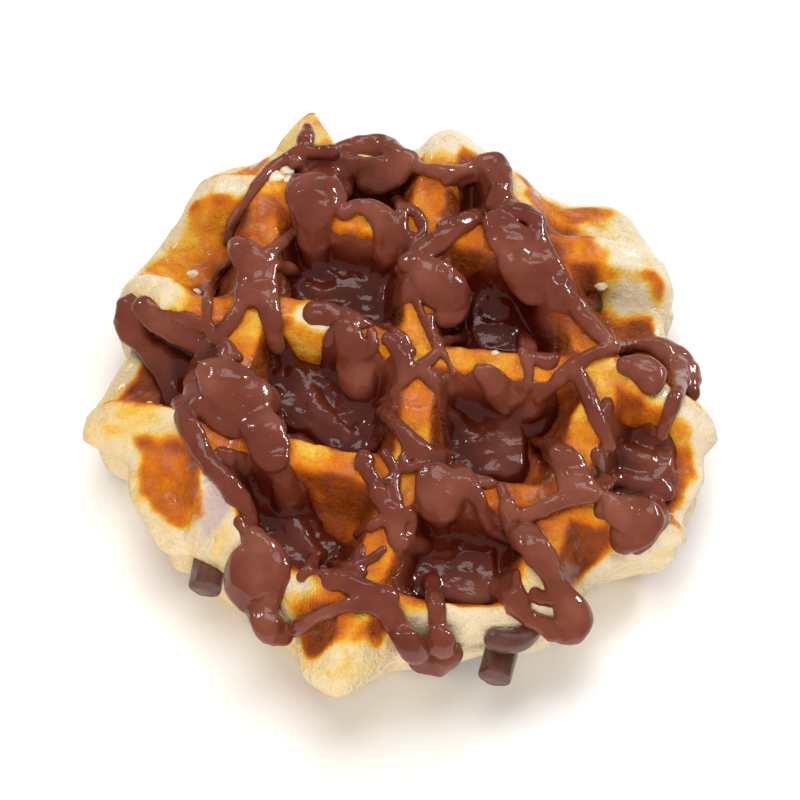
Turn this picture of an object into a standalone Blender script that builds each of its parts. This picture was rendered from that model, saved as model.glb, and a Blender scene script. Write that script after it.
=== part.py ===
"""A filled sugar waffle with thick chocolate sauce, lying flat.

The dough was pressed between two irons, so both faces carry the same net of ridges
and pockets, and its edge is a soft rim with a lip above and a lip below. Chocolate
batons run through it from front to back and stick out between the two lips. The thick
sauce lies on the upper face and is one body with the dough.

Metres, +Z up. The origin is the centre of the base, and -Y is the side where the
batons come out.
"""

import math

import bmesh
import bpy
from mathutils import Matrix, Vector, noise

MM = 0.001

# Heights of the dough above the surface that it lies on
THICKNESS = 26.5 * MM
UPPER_FLOOR = 18.0 * MM
LOWER_FLOOR = 8.8 * MM
UPPER_LIP = 16.0 * MM
LOWER_LIP = 9.0 * MM
BASE_TRIM = 0.7 * MM
BASE_SLAB = (200 * MM, 200 * MM, 10 * MM)

# Net of ridges: a flat land with a wall on either side, lower towards the rim. The lower
# face keeps more of that height at the rim, by the power given here
RIDGE_LAND = 2.3 * MM
RIDGE_WALL = 5.6 * MM
RIM_FADE = 0.25
RIM_HEIGHT = 0.6
LOWER_RIM_POWER = 0.25
EDGE_ROUND = 0.11
UNEVEN = 0.7 * MM
UNEVEN_SPAN = 17.0 * MM
UNEVEN_SEED = 1.7

# Groove between the two lips, deepest at the front, whose angle and spread are in degrees
GROOVE = 1.2 * MM
FRONT_GROOVE = 2.6 * MM
FRONT_ANGLE = -71
FRONT_SPREAD = 17

# Where the lower lip stands back from the upper one: angle and spread in degrees, depth in mm
INSETS = [
    (-71, 17, 3.4), (-99, 8, 7.0), (-150, 9, 3.5), (-166, 9, 5.5), (-42, 14, 4.0), (-10, 8, 2.5),
]

# Resolution of the dough before and after thinning
RIM_STEPS = 200
RING_STEPS = 84
SIDE_SHARE = 0.06
DOUGH_SHARE = 0.27
SKIN_CELL = 0.7 * MM
MELT_STEPS = 1
FACES_KEPT = 10000

# Chocolate batons
BATON_LENGTH = 80 * MM
BATON_WIDTH = 6.6 * MM
BATON_HEIGHT = 5.8 * MM
BATON_LEVEL = 13.2 * MM
BATON_LOBES = 5
BATON_SIDES = 30
BATON_GROOVE = 0.05
GAP = 0.3 * MM
CHANNEL_RUN = 10 * MM
LEFT_BATON_END = Vector((-36.5, -40.5, 0)) * MM
LEFT_BATON_TURN = math.radians(-9)
RIGHT_BATON_END = Vector((17.6, -60.3, 0)) * MM
RIGHT_BATON_TURN = math.radians(-13)
BENT_PIECE = [(16.2, -54.5, 18.5), (19.3, -56.0, 19.1), (22.6, -55.0, 18.5), (25.3, -51.0, 17.4)]
BENT_DIAMETER = 4.3 * MM
BENT_END = (0.8, 1.0)
BENT_CHANNEL_END = (1.0, 1.0)

# Outline of the rim from above, clockwise from the pulled-out point at the back, in mm
RIM = [
    (-17.5, 66.5), (-14.5, 61.5), (-11.5, 58), (1.5, 56.5), (7.5, 61), (12, 61), (19.5, 54.5),
    (31.5, 46), (42, 44.5), (48, 35.5), (52.5, 25.5), (50.5, 15.5), (56, 1.5), (60, -8),
    (57.5, -13), (57, -18.5), (53.5, -26.5), (53.5, -32), (48, -34), (40, -38), (35, -43),
    (32, -49), (25, -53), (12, -55), (1, -56), (-6, -62.5), (-12, -66), (-18, -61.5),
    (-20, -52), (-26, -45), (-31, -40.5), (-37.5, -35.5), (-44.5, -33.5), (-50.5, -22),
    (-52, -13), (-58.5, -10), (-60, -6.5), (-54.5, 5), (-51.5, 12), (-53, 17), (-53.5, 24.5),
    (-45.5, 37), (-38.5, 50), (-33.5, 54), (-25.5, 56), (-22.5, 60.5),
]

# Ridges of the iron's net as they run across the waffle, in mm: rows from back to front,
# then columns from left to right
RIDGES = [
    [(-21, 59), (-14, 55), (-6, 52.5), (2, 53), (9.5, 58), (17, 54)],
    [(-39, 46), (-26, 43), (-10, 36), (8, 33), (23, 29), (38, 28), (51, 27)],
    [(-53, 23), (-45, 19.5), (-37, 14), (-18, 14), (1, 5), (23, 1), (38, 0), (47.5, -4), (59, -9)],
    [(-58.5, -7.5), (-47.5, -10), (-35, -14), (-10, -21), (16, -27), (38, -31), (45.5, -33),
     (52, -34.5)],
    [(-33, -39), (-26, -44), (-16, -48), (3, -53), (25, -54), (33, -50)],
    [(-17.5, 65), (-22, 53), (-25, 44), (-28, 17), (-34, -13), (-34, -29), (-31, -39)],
    [(10, 59.5), (8, 50), (5, 34), (3, -6), (1, -24), (-7, -49), (-9.5, -59), (-10.5, -64)],
    [(18.5, 53), (27, 26), (38, 1), (35, -13), (25, -45), (23, -52)],
]

# Sauce: the width of each strand and its way across the top, in mm. Two numbers give a
# place in plan, where the strand drapes over the relief, and three a free drip or bridge.
SAUCE = {
    "spike_patch": (3.2, [(-19, 57), (-18, 53)]),
    "back_fold_a": (4.6, [(-16, 49), (-19, 45), (-19, 37), (-17, 31)]),
    "back_fold_b": (4.6, [(-13, 48), (-12, 44), (-13, 37), (-15, 31)]),
    "back_arch": (3.8, [(-13, 50, 24), (-10, 55, 23), (-6, 57, 21.5), (-2, 55.5, 22.5), (0, 51, 25)]),
    "arch_front": (5.2, [(-1, 49), (-4, 46), (-8, 44)]),
    "back_ring": (3.2, [(-11, 35), (-8, 37), (-4, 36), (-1, 32), (-1, 28), (-4, 26)]),
    "top_right": (3.4, [(3, 48), (9, 47), (14, 49), (18, 51), (20, 47), (20, 38)]),
    "top_right_sheet": (3.8, [(12, 47), (15, 43), (18, 38)]),
    "bridge_right": (4.6, [(10, 34), (15, 38), (21, 37), (26, 35)]),
    "bridge_left": (3.4, [(15, 37), (10, 33), (6, 29), (1, 25)]),
    "right_drape": (6.8, [(20, 32), (24, 27), (27, 20)]),
    "right_drape_edge": (3.6, [(26, 35), (28, 30), (31, 24), (31, 18)]),
    "centre_plate": (7.4, [(4, 27), (8, 22), (10, 18)]),
    "star_arm_a": (3.8, [(-33, 34), (-30, 27), (-26, 23)]),
    "star_arm_b": (3.6, [(-20, 34), (-22, 30), (-26, 23)]),
    "star_finger": (3.8, [(-26, 25), (-26, 19), (-25, 13), (-24, 8)]),
    "star_plate": (5.4, [(-30, 25), (-29, 17)]),
    "star_beads": (3.6, [(-23, 26), (-19, 26), (-15, 23)]),
    "right_drop": (3.6, [(32, 14), (36, 9), (39, 5)]),
    "ring_bridge": (2.6, [(27, -6), (30, -2), (34, 2), (41, 8)]),
    "right_ring": (4.4, [(41, 8, 26), (46, 12, 24), (51, 10.5, 22), (54, 6, 20), (55.5, 0, 18.5),
                         (53.5, -5, 21)]),
    "ring_island": (5.6, [(46, 8), (47, 3), (47, -3)]),
    "ring_tail": (3.0, [(53, -3), (52, -9), (50, -13)]),
    "ring_leg": (3.4, [(34, 1), (35, -7), (37, -13), (39, -17)]),
    "low_wing": (4.0, [(25, -10), (30, -15), (33, -21), (35, -27)]),
    "low_band": (3.8, [(27, -38), (29, -34), (33, -30), (38, -26), (42, -21)]),
    "drop_fold": (5.0, [(41, -20), (45, -19), (49, -22)]),
    "round_drop": (10.8, [(44, -27), (44, -32)]),
    "dark_pool": (5.4, [(40, -16), (46, -14)]),
    "diagonal": (3.6, [(-4, -4), (0, -11), (5, -16), (9, -20), (13, -27), (21, -34)]),
    "diagonal_plate": (7.6, [(6, -26), (9, -30)]),
    "right_node": (6.2, [(22, -33), (25, -40)]),
    "right_band": (5.4, [(25, -41), (28, -45), (32, -49, 20)]),
    "band_drip": (6.2, [(31.5, -48, 20), (33, -52, 18.5), (30, -53.5, 17.5)]),
    "front_blob": (4.0, [(22, -51), (27, -53)]),
    "left_leg": (4.6, [(-4, -52, 25.5), (-2, -54, 24), (1, -57.5, 21), (4, -57.5, 15)]),
    "right_leg": (3.6, [(6, -44), (7, -50, 25.5), (8, -54.5, 21), (8.4, -57, 14)]),
    "round_drip": (7.8, [(4.5, -56.5, 14), (8, -56.5, 14)]),
    "front_rope": (3.0, [(-23, -52, 16.5), (-19, -52, 18.5), (-15, -52), (-9, -51.5), (-3, -51)]),
    "left_lump": (7.4, [(-26, -36, 22), (-27, -42, 21.5), (-27, -46.5, 17.5), (-24, -51.5, 17.5)]),
    "left_lump_b": (4.8, [(-24, -39), (-22.5, -44, 21.5), (-23, -48, 18.5)]),
    "left_column": (5.0, [(-21, -8), (-23, -20), (-21, -26), (-19, -31), (-15, -38)]),
    "low_star_a": (5.6, [(2, -38), (8, -37), (16, -40), (22, -47)]),
    "low_star_b": (4.8, [(8, -32), (9, -40), (6, -45)]),
    "low_star_c": (4.4, [(17, -34), (10, -38), (3, -43)]),
    "finger_left": (3.4, [(-8, -19), (-6, -24), (-4, -28), (-1, -33)]),
    "finger_web": (3.2, [(-1, -15), (0, -21), (5, -26)]),
    "left_plate": (6.6, [(-12, 9), (-9, 6), (-6, 5)]),
    "mid_node": (3.0, [(-3, 8), (0, 5), (2, 1), (0, -4)]),
    "leaf": (4.8, [(15, 0), (18, -3), (20, -5)]),
    "mid_web": (3.2, [(2, 1), (8, 8), (13, 15), (19, 19), (23, 11), (25, 3)]),
    "left_band_a": (7.0, [(-52.5, 15, 20), (-50, 14, 22), (-45, 11, 22), (-41, 5, 20.5), (-38, 0, 20)]),
    "left_band_b": (5.4, [(-48, 14), (-42, 11), (-37, 8)]),
    "left_sheet_a": (7.6, [(-38, 6), (-34, -1), (-27, -2)]),
    "left_sheet_b": (6.4, [(-37, -4), (-30, -10), (-24, -5)]),
    "left_tail": (3.6, [(-39, -9), (-38, -18), (-35, -25), (-29, -33)]),
    "pool_back": (9.0, [(-13, 25), (-9, 23)]),
    "pool_right": (9.4, [(21, 16), (25, 12)]),
    "pool_left": (9.0, [(-18, 1), (-14, -6)]),
    "pool_centre": (8.4, [(12, -7), (15, -14)]),
    "pool_front": (8.4, [(-13, -34), (-19, -36)]),
}
SAUCE_STEP = 2.4 * MM
SAUCE_RISE = 0.7
SAUCE_RISE_LIMIT = 1.8 * MM
SAUCE_LIFT = 0.7 * MM
SAUCE_SOFTEN = 1.2 * MM
SAUCE_END = (0.55, 0.9)
END_RUN = 0.3
WELD = 1e-6


def collection(name):
    made = bpy.data.collections.new(name)
    bpy.context.scene.collection.children.link(made)
    return made


def material(name, colour, roughness):
    made = bpy.data.materials.new(name)
    made.use_nodes = True
    shader = made.node_tree.nodes["Principled BSDF"]
    shader.inputs["Base Color"].default_value = (*colour, 1)
    shader.inputs["Roughness"].default_value = roughness
    return made


def mesh_object(name, mesh, target, finish=None):
    made = bpy.data.objects.new(name, mesh)
    target.objects.link(made)
    if finish:
        mesh.materials.clear()
        mesh.materials.append(finish)
    return made


def apply_modifiers(obj):
    """Replaces an object's mesh with the result of its modifiers."""
    evaluated = obj.evaluated_get(bpy.context.evaluated_depsgraph_get())
    result = bpy.data.meshes.new_from_object(evaluated)
    obj.modifiers.clear()
    obj.data = result


def triangle_count(obj):
    return sum(len(face.vertices) - 2 for face in obj.data.polygons)


def keep_largest_body(obj):
    """Drops sealed hollows and loose scraps, which are bodies apart from the main skin."""
    shape = bmesh.new()
    shape.from_mesh(obj.data)
    unseen = set(shape.verts)
    bodies = []
    while unseen:
        front = [unseen.pop()]
        body = set(front)
        while front:
            for edge in front.pop().link_edges:
                for vertex in edge.verts:
                    if vertex in unseen:
                        unseen.remove(vertex)
                        body.add(vertex)
                        front.append(vertex)
        bodies.append(body)
    main = max(bodies, key=len)
    scraps = [vertex for vertex in shape.verts if vertex not in main]
    bmesh.ops.delete(shape, geom=scraps, context="VERTS")
    shape.to_mesh(obj.data)
    shape.free()


def smooth_step(value):
    value = min(1.0, max(0.0, value))
    return value * value * (3.0 - 2.0 * value)


def make_rim_radius():
    """The rim's distance from the centre as a function of the angle in plan."""
    corners = sorted((math.atan2(y, x), math.hypot(x, y) * MM) for x, y in RIM)
    turn = 2 * math.pi
    corners = [(corners[-1][0] - turn, corners[-1][1])] + corners + [(corners[0][0] + turn, corners[0][1])]

    def radius(angle):
        for (a, near), (b, far) in zip(corners, corners[1:]):
            if a <= angle <= b:
                return near + (far - near) * smooth_step((angle - a) / max(b - a, 1e-9))
        return corners[0][1]

    return radius


rim_radius = make_rim_radius()


def distance_to_line(x, y, line):
    """Distance from a place in plan to a ridge's line."""
    nearest = 1.0
    for (ax, ay), (bx, by) in zip(line, line[1:]):
        ax, ay, bx, by = ax * MM, ay * MM, bx * MM, by * MM
        run_x, run_y = bx - ax, by - ay
        along = ((x - ax) * run_x + (y - ay) * run_y) / (run_x * run_x + run_y * run_y)
        along = min(1.0, max(0.0, along))
        nearest = min(nearest, math.hypot(x - ax - along * run_x, y - ay - along * run_y))
    return nearest


def net(x, y):
    """How far up a ridge a place lies: 0 on a pocket's floor and 1 on a ridge's land."""
    open_share = 1.0
    for line in RIDGES:
        beyond = (distance_to_line(x, y, line) - RIDGE_LAND) / RIDGE_WALL
        beyond = min(1.0, max(0.0, beyond))
        open_share *= 1.0 - 0.5 * (1.0 + math.cos(math.pi * beyond))
    return 1.0 - open_share


def unevenness(x, y):
    return UNEVEN * noise.noise(Vector((x / UNEVEN_SPAN, y / UNEVEN_SPAN, UNEVEN_SEED)))


def edge_blend(share):
    """Quarter round at the rim: 1 inside, falling to 0 at the edge itself."""
    inward = min(1.0, max(0.0, (1.0 - share) / EDGE_ROUND))
    return math.sqrt(max(0.0, 1.0 - (1.0 - inward) ** 2))


def ridge_height(share):
    """Ridges are lower near the rim, where less dough reached the iron."""
    return RIM_HEIGHT + (1.0 - RIM_HEIGHT) * smooth_step((1.0 - share) / RIM_FADE)


def upper_face(x, y, share):
    relief = UPPER_FLOOR + (THICKNESS - UPPER_FLOOR) * net(x, y) * ridge_height(share)
    relief += unevenness(x, y)
    return UPPER_LIP + (relief - UPPER_LIP) * edge_blend(share)


def lower_face(x, y, share):
    relief = LOWER_FLOOR - (LOWER_FLOOR + BASE_TRIM) * net(x, y) * ridge_height(share) ** LOWER_RIM_POWER
    return LOWER_LIP + (relief - LOWER_LIP) * edge_blend(share)


def bell(angle, middle, spread):
    """1 at the middle angle in degrees, falling off over the spread on either side."""
    away = (math.degrees(angle) - middle + 180) % 360 - 180
    return math.exp(-((away / spread) ** 2))


def lower_inset(angle):
    return sum(depth * MM * bell(angle, middle, spread) for middle, spread, depth in INSETS)


def dough_point(direction):
    """Where the waffle's skin lies for a direction on the unit sphere."""
    angle = math.atan2(direction.y, direction.x)
    fall = math.acos(max(-1.0, min(1.0, direction.z))) / math.pi
    edge = rim_radius(angle)
    inset = lower_inset(angle)
    if fall < 0.5 - SIDE_SHARE:
        share = fall / (0.5 - SIDE_SHARE)
        x, y = edge * share * math.cos(angle), edge * share * math.sin(angle)
        return Vector((x, y, upper_face(x, y, share)))
    if fall > 0.5 + SIDE_SHARE:
        share = (1.0 - fall) / (0.5 - SIDE_SHARE)
        reach = (edge - inset) * share
        x, y = reach * math.cos(angle), reach * math.sin(angle)
        return Vector((x, y, lower_face(x, y, share)))
    down = (fall - 0.5 + SIDE_SHARE) / (2 * SIDE_SHARE)
    groove = GROOVE + FRONT_GROOVE * bell(angle, FRONT_ANGLE, FRONT_SPREAD)
    reach = edge - inset * smooth_step(down) - groove * math.sin(math.pi * down)
    level = UPPER_LIP + (LOWER_LIP - UPPER_LIP) * down
    return Vector((reach * math.cos(angle), reach * math.sin(angle), level))


def make_dough(target, finish):
    """A round ball of dough pressed to the form of the irons."""
    mesh = bpy.data.meshes.new("waffle")
    shape = bmesh.new()
    bmesh.ops.create_uvsphere(shape, u_segments=RIM_STEPS, v_segments=RING_STEPS, radius=1.0)
    for vertex in shape.verts:
        vertex.co = dough_point(vertex.co.normalized())
    shape.to_mesh(mesh)
    shape.free()
    dough = mesh_object("waffle", mesh, target, finish)
    thin = dough.modifiers.new("thin", "DECIMATE")
    thin.ratio = DOUGH_SHARE
    apply_modifiers(dough)
    return dough


def plan_share(x, y):
    return math.hypot(x, y) / rim_radius(math.atan2(y, x))


def drape_height(x, y):
    """The height at which sauce lies: the relief softened over a strand's width."""
    total = 0.0
    for step_x, step_y in ((0, 0), (1, 0), (-1, 0), (0, 1), (0, -1)):
        near_x, near_y = x + step_x * SAUCE_SOFTEN, y + step_y * SAUCE_SOFTEN
        total += upper_face(near_x, near_y, min(1.0, plan_share(near_x, near_y)))
    return max(total / 5, upper_face(x, y, min(1.0, plan_share(x, y))))


def smooth_path(points):
    """Points every few millimetres on a smooth curve through the given ones."""
    knots = [Vector(point) * MM for point in points]
    knots = [knots[0] * 2 - knots[1]] + knots + [knots[-1] * 2 - knots[-2]]
    path = []
    for before, start, end, after in zip(knots, knots[1:], knots[2:], knots[3:]):
        steps = max(1, round((end - start).length / SAUCE_STEP))
        for step in range(steps):
            t = step / steps
            path.append(0.5 * (2 * start + (end - before) * t
                               + (2 * before - 5 * start + 4 * end - after) * t * t
                               + (3 * start - before - 3 * end + after) * t ** 3))
    path.append(knots[-2])
    return path


def tube_mesh(name, path, diameter, ends):
    """A round tube along a path, thinner at both ends, as a closed mesh."""
    curve = bpy.data.curves.new(name, "CURVE")
    curve.dimensions = "3D"
    curve.bevel_depth = diameter / 2
    curve.bevel_resolution = 2
    curve.use_fill_caps = True
    start = path[0] + (path[0] - path[1]).normalized() * diameter * END_RUN
    finish = path[-1] + (path[-1] - path[-2]).normalized() * diameter * END_RUN
    line = [start] + path + [finish]
    radii = [ends[0], ends[1]] + [1.0] * (len(line) - 4) + [ends[1], ends[0]]
    spline = curve.splines.new("POLY")
    spline.points.add(len(line) - 1)
    for point, place, radius in zip(spline.points, line, radii):
        point.co = (*place, 1)
        point.radius = radius
    holder = bpy.data.objects.new(name, curve)
    bpy.context.scene.collection.objects.link(holder)
    evaluated = holder.evaluated_get(bpy.context.evaluated_depsgraph_get())
    mesh = bpy.data.meshes.new_from_object(evaluated)
    bpy.data.objects.remove(holder)
    shape = bmesh.new()
    shape.from_mesh(mesh)
    bmesh.ops.remove_doubles(shape, verts=shape.verts, dist=WELD)
    shape.to_mesh(mesh)
    shape.free()
    return mesh


def make_strand(name, width, points, target, finish):
    """One strand of sauce, lifted onto the relief, or hung free where heights are given."""
    free = any(len(point) == 3 for point in points)
    flat = min(SAUCE_RISE, SAUCE_RISE_LIMIT / (width * MM / 2))
    if free:
        points = [point if len(point) == 3 else (*point, drape_height(point[0] * MM, point[1] * MM) / MM)
                  for point in points]
    else:
        points = [(*point, 0) for point in points]
    mesh = tube_mesh(name, smooth_path(points), width * MM, SAUCE_END)
    if not free:
        for vertex in mesh.vertices:
            x, y, rise = vertex.co
            vertex.co = (x, y, drape_height(x, y) + SAUCE_LIFT + rise * flat)
    return mesh_object(name, mesh, target, finish)


def baton_section(angle):
    """The extruded baton's section: a flattened round with shallow lengthwise grooves."""
    ripple = 1.0 - BATON_GROOVE * (1.0 + math.cos(BATON_LOBES * angle))
    across = BATON_WIDTH / 2 * math.cos(angle)
    up = BATON_HEIGHT / 2 * math.sin(angle)
    return Vector((across * ripple, 0, up * ripple))


def baton_mesh(name, swell, extra):
    """A baton along +Y from its front end, swollen by a gap for its channel."""
    mesh = bpy.data.meshes.new(name)
    shape = bmesh.new()
    made = bmesh.ops.create_circle(shape, cap_ends=True, segments=BATON_SIDES, radius=1.0)
    for vertex in made["verts"]:
        outline = baton_section(math.atan2(vertex.co.y, vertex.co.x))
        vertex.co = outline + outline.normalized() * swell
        vertex.co.y = -extra
    pushed = bmesh.ops.extrude_face_region(shape, geom=list(shape.faces))
    moved = [item for item in pushed["geom"] if isinstance(item, bmesh.types.BMVert)]
    bmesh.ops.translate(shape, verts=moved, vec=(0, BATON_LENGTH + extra + swell, 0))
    bmesh.ops.recalc_face_normals(shape, faces=shape.faces)
    shape.to_mesh(mesh)
    shape.free()
    return mesh


def place_baton(name, end, turn, pieces, cutters, finish):
    """A baton with its channel's cutter, both at the baton's front end."""
    place = Vector((end.x, end.y, BATON_LEVEL))
    baton = mesh_object(name, baton_mesh(name, 0, 0), pieces, finish)
    channel = mesh_object(name + "_channel", baton_mesh(name + "_channel", GAP, CHANNEL_RUN), cutters)
    for item in (baton, channel):
        item.location = place
        item.rotation_euler = (0, 0, turn)
    return baton


def cut(obj, cutter):
    modifier = obj.modifiers.new(cutter.name, "BOOLEAN")
    modifier.operation = "DIFFERENCE"
    modifier.object = cutter


def make_base_cutter(target):
    """A slab whose top is the plane on which the lower ridges rest."""
    mesh = bpy.data.meshes.new("base_plane")
    shape = bmesh.new()
    bmesh.ops.create_cube(shape, size=1.0, matrix=Matrix.Diagonal((*BASE_SLAB, 1)))
    bmesh.ops.translate(shape, verts=shape.verts, vec=(0, 0, -BASE_SLAB[2] / 2))
    shape.to_mesh(mesh)
    shape.free()
    return mesh_object("base_plane", mesh, target)


for old in list(bpy.data.objects):
    bpy.data.objects.remove(old)

waffle_pieces = collection("filled_waffle")
cutters = collection("cutters")
drizzle = collection("drizzle")

dough_finish = material("baked_dough", (0.72, 0.42, 0.12), 0.55)
sauce_finish = material("chocolate_sauce", (0.12, 0.035, 0.018), 0.2)
baton_finish = material("baton_chocolate", (0.045, 0.02, 0.016), 0.4)

waffle = make_dough(waffle_pieces, dough_finish)
for strand_name, (strand_width, strand_points) in SAUCE.items():
    make_strand(strand_name, strand_width, strand_points, drizzle, sauce_finish)

fuse = waffle.modifiers.new("fuse_sauce", "BOOLEAN")
fuse.operation = "UNION"
fuse.operand_type = "COLLECTION"
fuse.collection = drizzle
fuse.solver = "MANIFOLD"
apply_modifiers(waffle)
for strand in list(drizzle.objects):
    bpy.data.objects.remove(strand)

even_skin = waffle.modifiers.new("even_skin", "REMESH")
even_skin.mode = "VOXEL"
even_skin.voxel_size = SKIN_CELL
melt = waffle.modifiers.new("melt", "SMOOTH")
melt.factor = 0.5
melt.iterations = MELT_STEPS
apply_modifiers(waffle)
keep_largest_body(waffle)
thin_skin = waffle.modifiers.new("thin_skin", "DECIMATE")
thin_skin.ratio = FACES_KEPT / triangle_count(waffle)
apply_modifiers(waffle)

place_baton("baton_left", LEFT_BATON_END, LEFT_BATON_TURN, waffle_pieces, cutters, baton_finish)
place_baton("baton_right", RIGHT_BATON_END, RIGHT_BATON_TURN, waffle_pieces, cutters, baton_finish)
bent_path = smooth_path(BENT_PIECE)
bent_mesh = tube_mesh("baton_bent", bent_path, BENT_DIAMETER, BENT_END)
mesh_object("baton_bent", bent_mesh, waffle_pieces, baton_finish)
channel_mesh = tube_mesh("bent_channel", bent_path, BENT_DIAMETER + 2 * GAP, BENT_CHANNEL_END)
mesh_object("bent_channel", channel_mesh, cutters)
make_base_cutter(cutters)
for cutter in cutters.objects:
    cut(waffle, cutter)
apply_modifiers(waffle)
keep_largest_body(waffle)
for cutter in list(cutters.objects):
    bpy.data.objects.remove(cutter)
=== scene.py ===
"""Looks of a chocolate-filled sugar waffle with thick milk chocolate sauce.

Metres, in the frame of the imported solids: +Z up, the base on z = 0, and -Y the side
where the chocolate batons come out.
"""

import itertools
import math

import bmesh
import bpy
import numpy as np
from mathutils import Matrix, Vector


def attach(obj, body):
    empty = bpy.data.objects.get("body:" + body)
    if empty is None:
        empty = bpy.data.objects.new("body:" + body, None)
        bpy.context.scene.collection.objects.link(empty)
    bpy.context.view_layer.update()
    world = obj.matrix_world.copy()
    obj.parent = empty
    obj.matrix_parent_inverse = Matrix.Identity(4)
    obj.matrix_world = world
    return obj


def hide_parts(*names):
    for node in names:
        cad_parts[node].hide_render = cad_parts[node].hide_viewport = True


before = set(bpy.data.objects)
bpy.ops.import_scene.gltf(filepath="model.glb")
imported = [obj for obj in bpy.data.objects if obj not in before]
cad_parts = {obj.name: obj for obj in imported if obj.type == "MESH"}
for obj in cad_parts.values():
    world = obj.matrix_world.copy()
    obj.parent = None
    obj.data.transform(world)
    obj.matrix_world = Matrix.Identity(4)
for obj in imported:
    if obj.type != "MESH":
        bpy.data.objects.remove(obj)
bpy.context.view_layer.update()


# Dough
# A ball of yeast dough with pearl sugar, pressed and baked between two hot irons whose
# net of bars leaves the same ridges and pockets on both faces. The rim is free dough that
# swelled out between the irons, with a lip above and a lip below a soft groove.

MM = 0.001

THICKNESS = 26.5 * MM
UPPER_FLOOR = 18.0 * MM
LOWER_FLOOR = 8.8 * MM
UPPER_LIP = 16.0 * MM
LOWER_LIP = 9.0 * MM
BASE_TRIM = 0.7 * MM

RIDGE_LAND = 2.3 * MM
RIDGE_WALL = 5.6 * MM
RIM_FADE = 0.25
RIM_HEIGHT = 0.6
EDGE_ROUND = 0.11

# Unevenness of the baked skin, as (depth, span) in mm, and the depth of the creases between lumps
CRUST_LAYERS = [(0.55, 17), (0.42, 5.5), (0.16, 1.9)]
CREASE_DEPTH = 0.30 * MM
CREASE_SPAN = 4.2 * MM
# How steeply the upper face drops past the rim, where the sauce's grid reaches further
OUTER_DROP = 150 * MM

GROOVE = 1.2 * MM
FRONT_GROOVE = 2.6 * MM
FRONT_ANGLE = math.radians(-71)
FRONT_SPREAD = math.radians(17)
# Where the lower lip stands back from the upper one: angle and spread in degrees, depth in mm
INSETS = [(-71, 17, 3.4), (-99, 8, 7.0), (-150, 9, 3.5), (-166, 9, 5.5), (-42, 14, 4.0), (-10, 8, 2.5)]

# How far the pale free rim reaches in, and where it reaches further: angle, spread and width
FREE_RIM = 1.0 * MM
FREE_RIM_BULGES = [(-100, 6, 5), (178, 9, 3), (-138, 8, 4), (-70, 20, 2)]

# Where the irons browned the dough more (+) or less (-): x, y, half-widths and turn in mm and degrees
BROWN_SPOTS = [
    (32, 35.5, 6.5, 3.6, -20, 0.34), (42, 35, 9, 7, -20, -0.55), (29, 28, 4, 3, 0, 0.25),
    (47.5, 14.5, 5.5, 3.4, -40, 0.45), (44, 21, 6, 5, -20, -0.50), (37, 21, 5, 6, 0, 0.10),
    (30, 17, 4, 8, 30, 0.18), (49, -18, 4.5, 9, 10, 0.20), (53, -10, 4, 3, 0, -0.30),
    (36, -42, 9, 6, 40, 0.22), (47, -34, 6, 4, 20, -0.35),
    (-44, -20, 9, 9, 0, 0.02), (-36, -29, 4, 5, -30, -0.18), (-51, 4, 7, 5, -40, 0.30),
    (-40, 34, 9, 12, -30, -0.17), (-46, 25, 8, 4, 0, -0.20), (-30, 44, 9, 5, 20, -0.12),
    (-27, 38, 5, 4, 0, 0.24), (-41, 23, 6, 3, 0, 0.12), (9, 41, 5, 8, 0, 0.16),
    (12, 55, 7, 4, -10, -0.30), (-14, -57, 5, 4, 30, 0.30), (-4, -57.5, 5, 3, 20, 0.36),
    (-11, -63, 6, 3, 0, -0.35), (2, -50, 14, 2.5, -5, 0.20), (12, -53.5, 9, 2, 0, -0.40),
    (-13, -47, 9, 2.5, -10, -0.22), (-17.5, 66, 2, 2.5, 0, 0.75),
    (-17.5, 10, 5.5, 4.5, 0, -0.44), (11.3, 45, 2.6, 2.6, 0, -0.60), (41, 12, 8, 8, 0, 0.06),
    (29.5, -34, 7, 7.5, 0, 0.30), (39, -36.5, 8, 6, 25, 0.22), (33, -44, 7, 4, 42, 0.16),
    (44, 12, 7, 6, 0, 0.12), (54, -17, 3, 9, 0, 0.04),
]

# The spots and the painted sheen lie only above this height, so on the upper face and not under the
# waffle, and no place is browner than the darkest
SPOT_LEVEL = 12 * MM
DARKEST = 0.86

# A sheen painted into the colour as a pale patch on a pocket wall: x, y, half-widths and turn
PAINTED_SHEEN_SPOT = (-34, -28.5, 3.4, 7.0, -25)

RIM_COLUMNS = 500
TOP_RINGS = 132
SIDE_RINGS = 26
BASE_RINGS = 84

# Outline of the rim from above, clockwise from the pulled-out point at the back, in mm
RIM = [
    (-17.5, 66.5), (-14.5, 61.5), (-11.5, 58), (1.5, 56.5), (7.5, 61), (12, 61), (19.5, 54.5),
    (31.5, 46), (42, 44.5), (48, 35.5), (52.5, 25.5), (50.5, 15.5), (56, 1.5), (60, -8),
    (57.5, -13), (57, -18.5), (53.5, -26.5), (53.5, -32), (48, -34), (40, -38), (35, -43),
    (32, -49), (25, -53), (12, -55), (1, -56), (-6, -62.5), (-12, -66), (-18, -61.5),
    (-20, -52), (-26, -45), (-31, -40.5), (-37.5, -35.5), (-44.5, -33.5), (-50.5, -22),
    (-52, -13), (-58.5, -10), (-60, -6.5), (-54.5, 5), (-51.5, 12), (-53, 17), (-53.5, 24.5),
    (-45.5, 37), (-38.5, 50), (-33.5, 54), (-25.5, 56), (-22.5, 60.5),
]

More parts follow.
